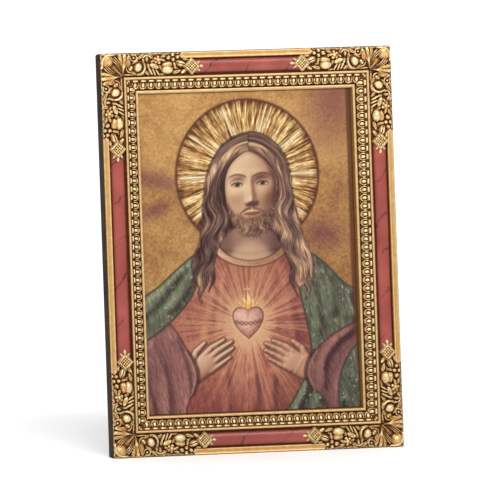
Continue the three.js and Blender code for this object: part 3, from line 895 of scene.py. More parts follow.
def paint_ground(x, y):
    """Ochre, clouded and speckled, browner below and a little towards the right, with a few plum clouds."""
    cloud = 0.5 * grain(x, y, 17.0) + 0.3 * grain(x, y, 6.0, 2.0) + 0.2 * grain(x, y, 2.2, 4.0)
    tone = 0.67 + 0.45 * (cloud - 0.5) - 0.03 * ease(10.0, 50.0, x) - 0.22 * ease(66.0, 20.0, y)
    tone += 0.3 * (grain(x, y, 0.8, 7.0) - 0.5)
    colour = shades(tone, (105, 66, 40), (150, 103, 62), (184, 136, 82), (214, 168, 102), (226, 184, 118))
    plum = shades(tone, (84, 50, 48), (140, 88, 76), (166, 112, 92))
    for at_x, at_y, wide, tall, lean, strength in CLOUDS:
        a, b = x - at_x - lean * (y - at_y), y - at_y + lean * (x - at_x)
        cover = bump(a, b, 0.0, 0.0, wide, tall) * (0.6 + 0.8 * (cloud - 0.35))
        colour = over(colour, plum, strength * cover)
    return colour


def paint_halo(x, y, under):
    """A disc of fine gold strokes that run out from its centre. Noise read finely by the angle and coarsely
    by the radius gives them, pale on brown."""
    far, turn = from_centre(x, y, HALO_X, HALO_Y)
    strokes = 0.6 * grain(turn * 62.0, far * 0.14, 1.0, 3.0) + 0.4 * grain(turn * 34.0, far * 0.09, 1.0, 5.0)
    crosswise = grain(turn * 7.0, far * 0.9, 1.0, 8.0)
    tone = 0.50 + 1.5 * (strokes - 0.5) + 0.20 * (crosswise - 0.5) + 0.06 * ease(38.0, 22.0, far)
    tone -= 0.55 * ease(34.5, 41.0, far) * grain(turn * 24.0, far * 0.2, 1.0, 12.0)
    colour = shades(tone, (92, 54, 28), (146, 100, 56), (194, 150, 94), (230, 190, 128), (255, 228, 172))
    return over(under, colour, ease(0.0, 0.7, HALO_RADIUS - far))


def paint_rays(x, y, under):
    """Ten long white rays over the halo, and the thin dark line that closes its disc."""
    far, turn = from_centre(x, y, HALO_X, HALO_Y)
    picture = under
    for degrees in RAYS:
        off = far * np.sin(turn - math.radians(degrees))
        ahead = np.cos(turn - math.radians(degrees)) > 0
        ray = bell(off / 0.45) * ease(15.0, 22.0, far) * ease(41.0, 37.0, far) * ahead
        picture = over(picture, colour_of(255, 244, 214), ray)
    edge = bell((far - HALO_RADIUS + 0.6) / 0.75)
    return over(picture, colour_of(96, 56, 44), 0.9 * edge)


# %% [markdown]
# The hair falls in waves from a middle parting to the shoulders. Strands follow it because the noise is read
# in the hair's own directions, across the locks and along them, and loose locks break the outline below. Each
# of these has a half width at its root and runs to a point.

# %% Hair
HEAD_X, HEAD_Y, HEAD_TILT = 1.6, 36.0, math.radians(2.5)
HAIR = [
    (2, 64), (12, 61.5), (20, 54), (24.5, 43), (25.5, 32), (27.5, 21), (30, 11), (32.5, 1), (34, -8),
    (31.5, -17), (27, -20), (24, -13), (21.5, -5), (18, 3), (13, 11), (0, 14), (-11, 11), (-17, 3), (-21, -5),
    (-24.5, -13), (-28, -19), (-31.5, -13), (-30.5, -3), (-28, 7), (-26.5, 18), (-25, 29), (-23, 41),
    (-18, 52), (-9, 60.5),
]
LOCKS = [
    (2.6, [(26, 6), (30, -4), (29, -13), (33, -21), (31, -27)]),
    (2.2, [(22, 2), (25, -8), (23.5, -16), (26.5, -25)]),
    (2.0, [(30, 4), (34.5, -6), (35, -15), (38, -20)]),
    (2.6, [(-25, 4), (-27, -6), (-25, -14), (-29, -22), (-28, -27)]),
    (2.0, [(-20, 2), (-22, -7), (-21, -14), (-24, -21)]),
    (1.8, [(-28, 2), (-31.5, -6), (-31, -13), (-34, -19)]),
]
FALL_HEIGHTS = (-26, -18, -8, 2, 12, 20, 30, 64)
FALL_INNER = (26, 24, 20.5, 16, 11.5, 12.5, 14.5, 14.5)
FALL_OUTER = (36, 36, 34.5, 32, 29.5, 27.5, 25.5, 25.5)
print(len(LOCKS), "loose locks")


def paint_hair(x, y, under, front):
    """Long hair from a middle parting, with loose locks at its ends. The strands are noise drawn out along
    the locks: finely across them, by the share of the way from the face to the outer edge, and slowly with
    height. Down the sides the share is taken level, between an inner and an outer width that change with
    height. Also returns which lock each point lies in."""
    deep = within(x, y, HAIR, 30.0)
    for width, points in LOCKS:
        far, along = to_line(x, y, smooth_line(points), 6.0)
        deep = np.maximum(deep, width * (1.0 - along ** 1.5) - far)
    side = np.where(x > HEAD_X, 1.0, -1.0)
    inner, outer = np.interp(y, FALL_HEIGHTS, FALL_INNER), np.interp(y, FALL_HEIGHTS, FALL_OUTER)
    level = (np.abs(x - HEAD_X + 1.2 * np.sin(0.33 * y + side)) - inner) / (outer - inner)
    bowl = -front / (np.clip(-front, 0.01, None) + np.clip(deep, 0.01, None))
    across = over(level[..., None], bowl[..., None], ease(24.0, 38.0, y))[..., 0]
    lock = across + 3.0 * side + 0.07 * np.sin(0.27 * y + 5.0 * across)
    strands = (0.45 * grain(lock * 8.0, y * 0.05, 1.0, 1.0) + 0.35 * grain(lock * 17.0, y * 0.09, 1.0, 5.0)
               + 0.20 * grain(lock * 29.0, y * 0.14, 1.0, 9.0))
    curl = 0.5 + 0.5 * np.sin(0.42 * y + 6.0 * across + 2.0 * side)
    crown = bell((y - 54.0 + 0.035 * (x - HEAD_X + 4.0) ** 2) / 4.0) * ease(18.0, 4.0, x)
    tone = 0.16 + 1.45 * (strands - 0.38) + 0.26 * curl * ease(34.0, 10.0, y) + 0.9 * crown * strands
    tone += 0.14 * bell((across - 0.5) / 0.3) + 0.10 * ease(5.0, 22.0, x) - 0.28 * ease(0.18, 0.0, across)
    tone -= 0.10 * ease(-10.0, -20.0, x) + 0.25 * bell((x - HEAD_X) / 0.5) * ease(53.0, 56.0, y)
    colour = shades(tone, (60, 38, 36), (86, 60, 54), (112, 84, 74), (156, 118, 96), (212, 170, 132))
    picture = over(under, colour, ease(-0.5, 0.6, deep + 2.2 * (strands - 0.55)))
    return over(picture, colour_of(66, 42, 40), 0.6 * bell(deep / 0.55)), lock


# %% [markdown]
# The face is a plain one, calm and even, set out by the drawing school's rule: eyes half-way down the head
# and an eye's width apart, the nose's base half-way from brow to chin, the mouth a third of the way below it.
# A relief of soft hills takes the light, and the eyes, lips and beard are drawn on it.

# %% Face
FACE_HALF = [
    (0, 17.4), (5, 15.4), (10.2, 11), (13.4, 4.8), (14.4, -2), (13.8, -10), (11.6, -17), (7.4, -23), (0, -26),
]
BEARD_HALF = [
    (0, -17.6), (4.2, -17.0), (7.0, -15.0), (9.8, -14.4), (12.4, -9.0), (14.0, -8.0), (14.0, -15.0),
    (11.6, -21.5), (7.2, -27.4), (0, -29.4),
]
EYE_X, EYE_HALF, NOSE_BASE, MOUTH = 7.2, 3.5, -11.2, -16.2
print(f"face {FACE_HALF[0][1] - FACE_HALF[-1][1]:.1f} mm high, eyes {2 * (EYE_X - EYE_HALF):.1f} mm apart")


def face_axes(x, y):
    """Distances across and up the face from the middle between the eyes, turned by the head's tilt."""
    c, s = math.cos(HEAD_TILT), math.sin(HEAD_TILT)
    return (x - HEAD_X) * c + (y - HEAD_Y) * s, (y - HEAD_Y) * c - (x - HEAD_X) * s


def face_within(x, y, half):
    """How deep a point lies in an outline on the face's own axes, given by one half and mirrored."""
    c, s = math.cos(HEAD_TILT), math.sin(HEAD_TILT)
    outline_points = half + [(-a, b) for a, b in half[-2:0:-1]]
    return within(x, y, [(HEAD_X + a * c - b * s, HEAD_Y + b * c + a * s) for a, b in outline_points], 30.0)


def face_relief(a, b):
    """An egg-shaped head with brow, eye hollows, eyeballs, nose, cheeks, lips and chin, each a soft hill."""
    m = np.abs(a)
    height = 15.0 * np.sqrt(np.clip(1.0 - (a / 19.5) ** 2 - ((b + 1.0) / 31.0) ** 2, 0.02, None))
    height += 0.9 * bump(m, b, 6.0, 5.2, 5.0, 2.2)
    height -= 2.2 * bump(m, b, 6.6, 0.6, 4.2, 3.0)
    height += 1.1 * bump(m, b, EYE_X, -0.2, 3.0, 2.2)
    down = np.clip((3.5 - b) / 13.0, 0.0, 1.0)
    ridge = (0.9 + 1.9 * down) * np.exp(-(np.abs(a) / (1.6 + 0.9 * down)) ** 2.2)
    height += ridge * ease(NOSE_BASE - 1.2, NOSE_BASE + 2.4, b) * ease(8.0, 2.0, b)
    height += 1.3 * bump(a, b, 0.0, -9.3, 2.0, 1.9) + 0.9 * bump(m, b, 2.7, -9.9, 1.1, 1.3)
    height += 1.1 * bump(m, b, 9.5, -5.5, 4.5, 4.5)
    height += 0.8 * bump(a, b, 0.0, MOUTH + 1.3, 4.2, 0.9) + 1.0 * bump(a, b, 0.0, MOUTH - 1.7, 3.6, 1.2)
    height -= 0.6 * bump(a, b, 0.0, MOUTH - 4.2, 3.6, 0.9)
    return height + 1.2 * bump(a, b, 0.0, -22.5, 4.5, 2.8)


# %% [markdown]
# Lids, lashes and the line of the mouth are drawn over the relief as bell curves across a line: dark where
# the line runs, and gone a fraction of a millimetre away. The beard is fine strands that fan out from the
# nose and thin out towards the cheeks.

# %% Eyes, beard and mouth
def paint_eye(a, b, under, flip):
    """One eye and brow. The lids are two arcs, the iris a disc half under the upper lid."""
    m = flip * a - EYE_X
    arc = np.clip(1.0 - (m / EYE_HALF) ** 2, 0.0, None)
    upper, lower = 1.3 * arc ** 0.8 - 0.1, -0.95 * arc ** 0.8 - 0.1
    opening = ease(-0.15, 0.2, np.minimum(upper - b, b - lower)) * (arc > 0)
    shade = 0.95 - 0.5 * (m / EYE_HALF) ** 2 - 0.55 * ease(0.9, 0.0, upper - b)
    picture = over(under, shades(shade, (110, 80, 68), (172, 146, 126), (224, 206, 186)), opening)
    far = np.hypot(m, b - 0.3)
    iris = shades(ease(0.6, 1.7, far), (104, 82, 62), (128, 104, 80), (66, 50, 42))
    picture = over(picture, iris, opening * ease(1.75, 1.45, far))
    picture = over(picture, colour_of(30, 20, 18), opening * ease(0.95, 0.65, far))
    spark = ease(0.45, 0.2, np.hypot(flip * m + 0.5, b - 0.75))
    picture = over(picture, colour_of(232, 216, 196), 0.8 * opening * spark)
    lash = bell((b - upper - 0.05) / 0.34) * (np.abs(m) < EYE_HALF + 0.6) * (arc > 0)
    picture = over(picture, colour_of(58, 36, 30), 0.95 * lash)
    under_lid = bell((b - lower + 0.1) / 0.25) * (arc > 0.02)
    picture = over(picture, colour_of(128, 84, 68), 0.6 * under_lid)
    fold = 2.55 * np.clip(1.0 - (m / 4.6) ** 2, 0, None) ** 0.7
    crease = bell((b - fold - 0.3) / 0.35) * (np.abs(m) < 4.4)
    picture = over(picture, colour_of(130, 84, 66), 0.55 * crease)
    brow_line = 5.6 - 0.045 * (m - 0.6) ** 2 - 0.12 * np.clip(m, 0, None)
    brow_half = 0.72 * np.clip(1.0 - ((m + 0.2) / 5.4) ** 2, 0.0, None) ** 0.5 * (1.0 - 0.06 * m)
    hairs = 0.75 + 0.25 * np.sin(7.0 * m + 5.0 * b)
    brow = ease(1.25, 0.3, np.abs(b - brow_line) / np.clip(brow_half, 0.05, None)) * hairs * (brow_half > 0)
    return over(picture, colour_of(84, 54, 42), 0.85 * brow)


def paint_face(x, y, under, front):
    """Skin over the relief, then the eyes, the brows, the nostrils and the wings of the nose."""
    a, b = face_axes(x, y)
    light = lit(x, y, face_relief(a, b), side=-0.42, above=0.56, front=0.68)
    tone = light + 0.02 + 0.03 * (grain(x, y, 1.2, 3.0) - 0.5)
    tone -= 0.20 * ease(2.6, 0.0, front) + 0.08 * ease(-2.0, 12.0, a)
    skin = shades(tone, (96, 62, 52), (140, 98, 80), (186, 142, 112), (216, 176, 138), (238, 208, 168))
    blush = bump(np.abs(a), b, 9.5, -6.5, 3.5, 3.0) + 0.5 * bump(a, b, 0.0, -9.5, 2.2, 1.8)
    skin = over(skin, shades(tone, (120, 62, 52), (206, 132, 106)), 0.22 * blush)
    picture = over(under, skin, ease(-0.3, 0.5, front))
    for flip in (-1, 1):
        picture = paint_eye(a, b, picture, flip)
        nostril = bump(flip * a, b, 1.55, NOSE_BASE + 0.4, 0.75, 0.36)
        picture = over(picture, colour_of(84, 48, 38), 0.8 * nostril)
        wing = bell((np.hypot(flip * a - 2.1, b + 9.9) - 1.6) / 0.3) * (flip * a > 2.3) * (b < -8.9)
        picture = over(picture, colour_of(126, 80, 64), 0.5 * wing)
    return picture


def paint_beard(x, y, under):
    """Moustache, chin and cheeks: cover that thins towards the cheek, and strands by angle from the nose.
    Also returns the directions that its hairs follow."""
    a, b = face_axes(x, y)
    m = np.abs(a)
    deep = face_within(x, y, BEARD_HALF)
    turn, far = np.arctan2(a, -(b + 6.0)), np.hypot(a, b)
    curl = 0.05 * np.sin(1.3 * far + 9.0 * turn)
    fibres = (0.6 * grain((turn + curl) * 26.0, far * 0.20, 1.0, 4.0)
              + 0.4 * grain((turn - curl) * 44.0, far * 0.3, 1.0, 6.0))
    wing_half = 1.15 * np.clip(1.0 - (m / 7.6) ** 2, 0.0, None) ** 0.5
    off_wing = np.abs(b + 12.9 + 0.055 * m ** 2) / np.maximum(wing_half, 0.05)
    wing = ease(1.1, 0.3, off_wing) * ease(0.0, 0.8, m) * (m < 7.5)
    chin = bump(m, b, 3.5, -24.0, 3.0, 3.5)
    tone = 0.12 + 0.95 * (fibres - 0.22) + 0.20 * ease(16.0, -12.0, a) + 0.16 * chin
    colour = shades(tone, (62, 40, 36), (92, 62, 52), (136, 100, 80), (196, 154, 120))
    cover = np.maximum(ease(-0.6, 1.8, deep + 2.4 * (fibres - 0.5)), wing)
    return over(under, colour, cover * (0.74 + 0.26 * fibres)), turn + curl, far


def paint_mouth(x, y, under):
    """Two lips, each a flat arc, and the dark line between them."""
    a, b = face_axes(x, y)
    m, light = np.abs(a), ease(16.0, -12.0, a)
    upper = ease(0.35, -0.25, np.abs(b - MOUTH - 0.65) - 0.65 * np.clip(1.0 - (m / 4.2) ** 2, 0.0, None))
    lower = ease(0.35, -0.25, np.abs(b - MOUTH + 0.9) - 0.85 * np.clip(1.0 - (m / 3.5) ** 2, 0.0, None))
    picture = over(under, shades(light, (132, 80, 70), (160, 102, 88)), 0.9 * upper * (m < 4.2))
    picture = over(picture, shades(light - 0.1 * m, (142, 86, 76), (196, 138, 116)), 0.9 * lower * (m < 3.5))
    line = bell((b - MOUTH + 0.16 * np.cos(a * 1.1)) / 0.3) * ease(4.8, 3.6, m)
    return over(picture, colour_of(82, 44, 40), 0.85 * line)


# %% [markdown]
# Cloth is painted over a relief of soft ridges, each along a line from the shoulder or the waist down, with
# its half width and its height. The glow round the heart is laid over the robe as strokes that run outwards
# from it.

# %% Outlines and folds of the clothes
ROBE = [
    (-24, 2), (-12, -1), (0, -2), (14, -1), (25, 4), (46, -20), (60, -60), (60, -92), (0, -94), (-60, -92),
    (-60, -60), (-46, -20),
]
ROBE_FOLDS = [
    (2.6, 1.4, [(-20, -8), (-22, -28), (-26, -48), (-24, -66)]),
    (2.0, 1.0, [(-14, -8), (-16, -26), (-18, -44)]),
    (2.4, 1.4, [(18, -6), (21, -24), (24, -44), (24, -64)]), (2.2, 0.9, [(11, -12), (13, -28), (15, -44)]),
    (2.6, 2.0, [(-17, -62), (-15, -76), (-16, -92)]), (3.0, 2.0, [(-2, -64), (0, -76), (-2, -92)]),
    (2.6, 1.8, [(12, -62), (10, -76), (9, -92)]),
]
MANTLE_LEFT = [
    (-22, 6), (-29, 1), (-40, -7), (-52, -17), (-70, -30), (-70, -50), (-60, -46), (-50, -40), (-41, -32),
    (-34, -24), (-29, -14), (-25, -4),
]
MANTLE_RIGHT = [
    (23, 8), (31, 1), (42, -7), (54, -19), (70, -32), (70, -96), (12, -96), (21, -82), (29, -68), (33, -54),
    (31, -38), (28, -24), (26, -8),
]
MANTLE_OUTER = [(70, -47), (60, -51), (53, -59), (49, -69), (48, -81), (52, -96), (70, -96)]
MANTLE_FOLDS = [
    (2.8, 1.7, [(-26, 0), (-34, -12), (-42, -24), (-52, -36)]),
    (2.6, 1.7, [(-32, -3), (-42, -14), (-54, -26), (-66, -36)]),
    (2.0, 0.9, [(-29, -8), (-36, -20), (-46, -32)]), (2.0, 0.9, [(-38, -8), (-50, -19), (-64, -30)]),
    (2.6, 2.4, [(27, 2), (33, -14), (37, -32), (39, -50)]), (2.6, 2.4, [(34, -2), (43, -18), (48, -38)]),
    (2.2, 2.2, [(44, -10), (54, -24), (60, -40)]), (1.6, 1.4, [(29, -6), (31, -22), (34, -40)]),
    (1.8, 1.4, [(40, -8), (48, -22), (55, -40)]), (2.4, 2.2, [(33, -66), (28, -78), (21, -92)]),
    (2.2, 2.2, [(38, -78), (35, -86), (31, -94)]), (2.2, 2.2, [(50, -80), (48, -94)]),
]
SLEEVE_LEFT = [
    (-70, -26), (-54, -30), (-44, -40), (-38, -50), (-34, -58), (-32, -66), (-34, -74), (-38, -82),
    (-42, -96), (-70, -96),
]
SLEEVE_RIGHT = [
    (70, -36), (56, -41), (44, -47), (36, -54), (32, -61), (31, -68), (34, -75), (40, -81), (46, -96),
    (70, -96),
]
SLEEVE_FOLDS = [
    (2.6, 2.2, [(-48, -40), (-40, -56), (-37, -74), (-38, -92)]),
    (2.6, 2.2, [(-60, -46), (-51, -62), (-48, -92)]), (1.6, 1.4, [(-38, -46), (-33, -62), (-32, -80)]),
    (2.2, 1.8, [(-66, -58), (-59, -76), (-57, -92)]),
    (2.4, 1.9, [(60, -42), (48, -50), (40, -62), (40, -78)]),
    (2.2, 1.6, [(66, -50), (55, -60), (48, -76), (48, -94)]), (2.0, 1.6, [(70, -64), (62, -74), (57, -94)]),
]
CUFF_LEFT = [(-37, -52), (-33, -59), (-31.5, -67), (-34, -76)]
CUFF_RIGHT = [(35, -54), (31, -61), (30, -68), (33, -76)]
HEART_X, HEART_Y = -2.0, -39.0
print(len(ROBE_FOLDS) + len(MANTLE_FOLDS) + len(SLEEVE_FOLDS), "folds")


# %% [markdown]
# All cloth is painted by one function, so robe, mantle and sleeves differ only in outline, folds and colours.

# %% Robe, collar, mantle and sleeves
def cloth(x, y, under, deep, relief, tint, colours):
    """A piece of cloth: its folds in light and shade, a little canvas grain, and a dark drawn edge."""
    tone = 0.9 * lit(x, y, relief) + tint + 0.14 * (grain(x, y, 0.9, 2.0) - 0.5)
    tone += 0.16 * (grain(x, y, 7.0, 6.0) - 0.5)
    tone += 0.22 * (grain(x + 0.25 * y, y * 0.12, 0.8, 8.0) - 0.5)
    picture = over(under, shades(tone, *colours), ease(-0.3, 0.4, deep))
    return over(picture, colour_of(*colours[0]), 0.75 * bell((deep - 0.2) / 0.55))


def from_heart(x, y):
    """Distance from the heart and direction, for all that runs outwards from it."""
    return np.hypot(x - HEART_X, (y - HEART_Y) * 0.95), np.arctan2(x - HEART_X, y - HEART_Y)


def paint_robe(x, y, under):
    """Crimson cloth with hanging folds, and a wide glow of gold strokes round the heart."""
    deep = within(x, y, ROBE, 12.0)
    tint = 0.05 - 0.26 * ease(6.0, 34.0, x) - 0.20 * ease(-50.0, -86.0, y)
    reds = (84, 42, 42), (118, 62, 58), (148, 80, 70), (176, 108, 90), (202, 146, 120)
    picture = cloth(x, y, under, deep, folds(x, y, ROBE_FOLDS), tint, reds)
    far, turn = from_heart(x, y)
    streak = (0.4 * grain(turn * 19.0 + 200.0, far * 0.02, 1.0, 7.0)
              + 0.6 * grain(turn * 34.0 + 200.0, far * 0.02, 1.0, 3.0))
    reach = 57.0 + 16.0 * (grain(turn * 8.0 + 50.0, 0 * far, 1.0, 2.0) - 0.5)
    strokes = 0.25 + 0.75 * ease(0.40, 0.60, streak + 0.30 * ease(17.0, 9.0, far))
    glow = ease(1.0, 0.0, far / reach) ** 0.45 * strokes
    colour = shades(1.05 - far / 58.0, (158, 100, 80), (186, 128, 98), (212, 158, 118), (240, 200, 150))
    return over(picture, colour, 0.82 * glow * ease(0.0, 3.0, deep))


def paint_collar(x, y, under):
    """Neck and throat in the beard's shadow inside a wide round neckline, with a pale band and gold edges."""
    drop = np.hypot((x - 1.0) / 24.0, (y - 9.0) / 17.0)
    front = y < 9.0
    tone = 0.98 - 0.44 * ease(1.0, 9.0, y + 0.05 * (x - 1.0) ** 2) - 0.26 * ease(7.0, 15.0, np.abs(x - 1.0))
    tone -= 0.14 * ease(0.0, 12.0, x) + 0.12 * bell((y + 1.5 - 0.16 * np.abs(x - 1.0)) / 0.9)
    skin = shades(tone, (92, 60, 54), (132, 96, 84), (172, 134, 112), (204, 164, 130))
    picture = over(under, skin, ease(0.03, -0.03, drop - 0.84) * (y < 14.0))
    band = ease(0.0, 0.04, drop - 0.86) * ease(0.0, 0.04, 0.99 - drop) * front
    weave = 0.55 - 0.02 * x + 0.4 * (grain(x, y, 1.1, 5.0) - 0.5)
    picture = over(picture, shades(weave, (126, 92, 80), (176, 136, 112), (220, 184, 150)), band)
    for place, cover in ((0.86, 0.85), (0.975, 0.9)):
        line = bell((drop - place) / 0.022) * front
        picture = over(picture, shades(0.6 - 0.02 * x, (150, 100, 54), (240, 200, 138)), cover * line)
    for place in (0.825, 1.02):
        line = bell((drop - place) / 0.022) * front
        picture = over(picture, colour_of(84, 48, 42), 0.7 * line)
    return picture


def paint_mantle(x, y, under, points, tint):
    """Part of the green cloth, in long folds, with pale threads along the weave and a few pale flecks."""
    greens = (56, 50, 44), (78, 76, 64), (98, 100, 82), (120, 126, 100), (170, 166, 126)
    deep = within(x, y, points, 8.0)
    tint = tint - 0.10 * ease(-40.0, -86.0, y)
    picture = cloth(x, y, under, deep, folds(x, y, MANTLE_FOLDS), tint, greens)
    threads = ease(0.62, 0.85, grain(x + 0.3 * y, y * 0.16, 0.9, 15.0)) * ease(0.5, 2.0, deep)
    picture = over(picture, colour_of(176, 170, 132), 0.30 * threads)
    flecks = ease(0.80, 0.90, grain(x, y, 0.9, 31.0)) * ease(0.45, 0.6, grain(x, y, 8.0, 33.0))
    return over(picture, colour_of(214, 214, 188), 0.5 * flecks * ease(0.5, 1.5, deep))


def paint_sleeves(x, y, under):
    """Both sleeves in a browner red than the robe, wide and hanging, each with a pale rim at its opening."""
    reds = (72, 44, 46), (102, 64, 62), (132, 88, 82), (160, 108, 98), (194, 146, 128)
    relief, picture = folds(x, y, SLEEVE_FOLDS), under
    for points, cuff, tint in ((SLEEVE_LEFT, CUFF_LEFT, 0.02), (SLEEVE_RIGHT, CUFF_RIGHT, -0.14)):
        picture = over(picture, colour_of(62, 38, 38), 0.7 * stroke(x, y, cuff, 2.2, taper=0.5))
        picture = cloth(x, y, picture, within(x, y, points, 8.0), relief, tint, reds)
        edge = stroke(x, y, [(at_x * 1.05, at_y) for at_x, at_y in cuff], 1.1)
        picture = over(picture, colour_of(186, 132, 112), 0.55 * edge)
    return picture


# %% [markdown]
# Both hands lie on the breast, open towards the heart. Each is a few round bars that taper: a wrist, a palm,
# four fingers and a thumb in two parts. A bar has two ends, a half width at each, and a rise. Where two bars
# meet there is a crease.

# %% Hands
FINGERS = [
    ((11, 4.3), (19, 5.4), (27.0, 4.6), 1.9), ((12, 1.4), (21, 2.0), (30.0, 1.2), 2.0),
    ((12, -1.7), (20, -1.5), (28.5, -2.0), 1.9), ((11, -4.6), (18, -4.9), (24.5, -5.0), 1.65),
]
HAND = [((-6.0, 0.0), (4.0, 0.0), 4.6, 5.2, 3.0), ((4.0, 0.0), (12.0, 0.2), 6.2, 6.2, 3.2)]
for base, knuckle, tip, thick in FINGERS:
    HAND.append((base, knuckle, thick * 1.05, thick * 0.95, 2.6))
    HAND.append((knuckle, tip, thick * 0.95, thick * 0.66, 2.4))
HAND += [((3.0, 3.5), (10.5, 8.6), 2.7, 2.1, 3.0), ((10.5, 8.6), (17.0, 9.6), 2.1, 1.5, 2.8)]
print(len(HAND), "bars in a hand")


def paint_hand(x, y, under, wrist, degrees, flip, tint):
    """A hand laid on the breast, turned about its wrist. A bar's dome is nearly half a circle over the
    distance from its axis. Each has a slight knuckle half-way and a dark edge."""
    c, s = math.cos(math.radians(degrees)), math.sin(math.radians(degrees))
    u = (x - wrist[0]) * flip * c + (y - wrist[1]) * s
    v = (y - wrist[1]) * c - (x - wrist[0]) * flip * s
    relief, nearest, edge = np.zeros(x.shape), np.full(x.shape, 9.0), np.full(x.shape, 9.0)
    for (u0, v0), (u1, v1), thick, thin, rise in HAND:
        du, dv = u1 - u0, v1 - v0
        t = np.clip(((u - u0) * du + (v - v0) * dv) / (du * du + dv * dv), 0.0, 1.0)
        half = thick + (thin - thick) * t
        share = np.hypot(u - u0 - t * du, v - v0 - t * dv) / half
        dome = rise * rounded(share) ** 0.8 + 0.25 * bell((t - 0.48) / 0.06) * (share < 1)
        edge = np.where(dome > relief, (1.0 - share) * half, edge)
        relief = np.maximum(relief, dome)
        nearest = np.minimum(nearest, (share - 1.0) * half)
    tone = 0.95 * lit(x, y, smoothed(relief, 1)) + tint + 0.04 * (grain(x, y, 1.0, 4.0) - 0.5)
    skin = shades(tone, (98, 60, 48), (146, 98, 80), (184, 136, 110), (212, 168, 138), (232, 198, 166))
    picture = over(under, skin, ease(0.35, -0.25, nearest))
    picture = over(picture, colour_of(92, 54, 44), 0.65 * bell(nearest / 0.4))
    crease = bell(edge / 0.35) * (nearest < -0.2)
    return over(picture, colour_of(112, 68, 56), 0.6 * crease)


# %% [markdown]
# The heart has two round lobes over a point, a ring of thorns, flames and a small cross. A flame has a sway
# to one side, a height and a half width.

# %% Heart
FLAMES = [(-5.6, 8.5, 2.0), (5.6, 8.0, 2.0), (-3.0, 11.0, 2.1), (3.2, 10.5, 2.1), (0.0, 13.5, 2.3)]


def paint_heart(x, y, under):
    """Two round lobes that run to a point, ringed with thorns, and a flame with a small cross on top."""
    a, b = (x - HEART_X) / 8.6, (y - HEART_Y) / 7.9
    body = 1.0 - (a * a + (b - 0.62 * np.abs(a) ** 0.75 + 0.06) ** 2 * 1.1) ** 0.5
    picture = under
    heat = ease(HEART_Y + 4.0, HEART_Y + 15.0, y)
    flame = shades(heat, (200, 124, 70), (234, 178, 108), (250, 214, 150))
    for sway, tall, width in FLAMES:
        foot_x, foot_y = HEART_X + 0.45 * sway, HEART_Y + 3.5
        tongue = [(foot_x, foot_y), (foot_x + 0.6 * sway, foot_y + 0.35 * tall),
                  (foot_x + 0.2 * sway + 0.7, foot_y + 0.7 * tall), (foot_x + 0.5 * sway, foot_y + tall)]
        cover = stroke(x, y, tongue, width, taper=0.9)
        picture = over(picture, colour_of(142, 82, 50), cover)
        picture = over(picture, flame, ease(0.4, 0.9, cover))
    halo = bell(body / 0.12)
    picture = over(picture, colour_of(248, 216, 166), 0.5 * halo * (body < 0))
    tone = 0.42 + 0.70 * np.clip(body, 0, 1) - 0.22 * a + 0.25 * b + 0.25 * (grain(x, y, 1.1, 21.0) - 0.5)
    flesh = shades(tone, (124, 72, 62), (168, 112, 98), (200, 148, 130), (228, 184, 160))
    picture = over(picture, flesh, ease(-0.03, 0.05, body))
    picture = over(picture, colour_of(108, 56, 42), 0.8 * bell(body / 0.05))
    thorn_line = HEART_Y + 0.4 + 0.02 * (x - HEART_X) ** 2
    for phase in (0.0, math.pi):
        twist = bell((y - thorn_line - 0.75 * np.sin(1.25 * (x - HEART_X) + phase)) / 0.42)
        picture = over(picture, colour_of(110, 74, 54), 0.85 * twist * (body > 0.02))
    up, across = y - HEART_Y - 18.0, x - HEART_X
    post = (np.abs(across) < 0.4) & (np.abs(up) < 2.6)
    beam = (np.abs(up - 0.8) < 0.4) & (np.abs(across) < 1.6)
    return over(picture, colour_of(226, 176, 132), 0.8 * (post | beam))


# %% [markdown]
# Each layer is laid over the ones below. Every point also keeps the brush marks of the layer on top: how far
# across and how far along the strokes it lies, and how strong they are.

# %% The whole picture
def add_layer(picture, brush, layer, across, along, strength):
    """The picture with its new layer, and the brush marks, the layer's own where it changed a colour."""
    changed = np.abs(layer - picture).max(axis=-1, keepdims=True) > 0.01
    return layer, np.where(changed, np.stack(np.broadcast_arrays(across, along, strength), axis=-1), brush)


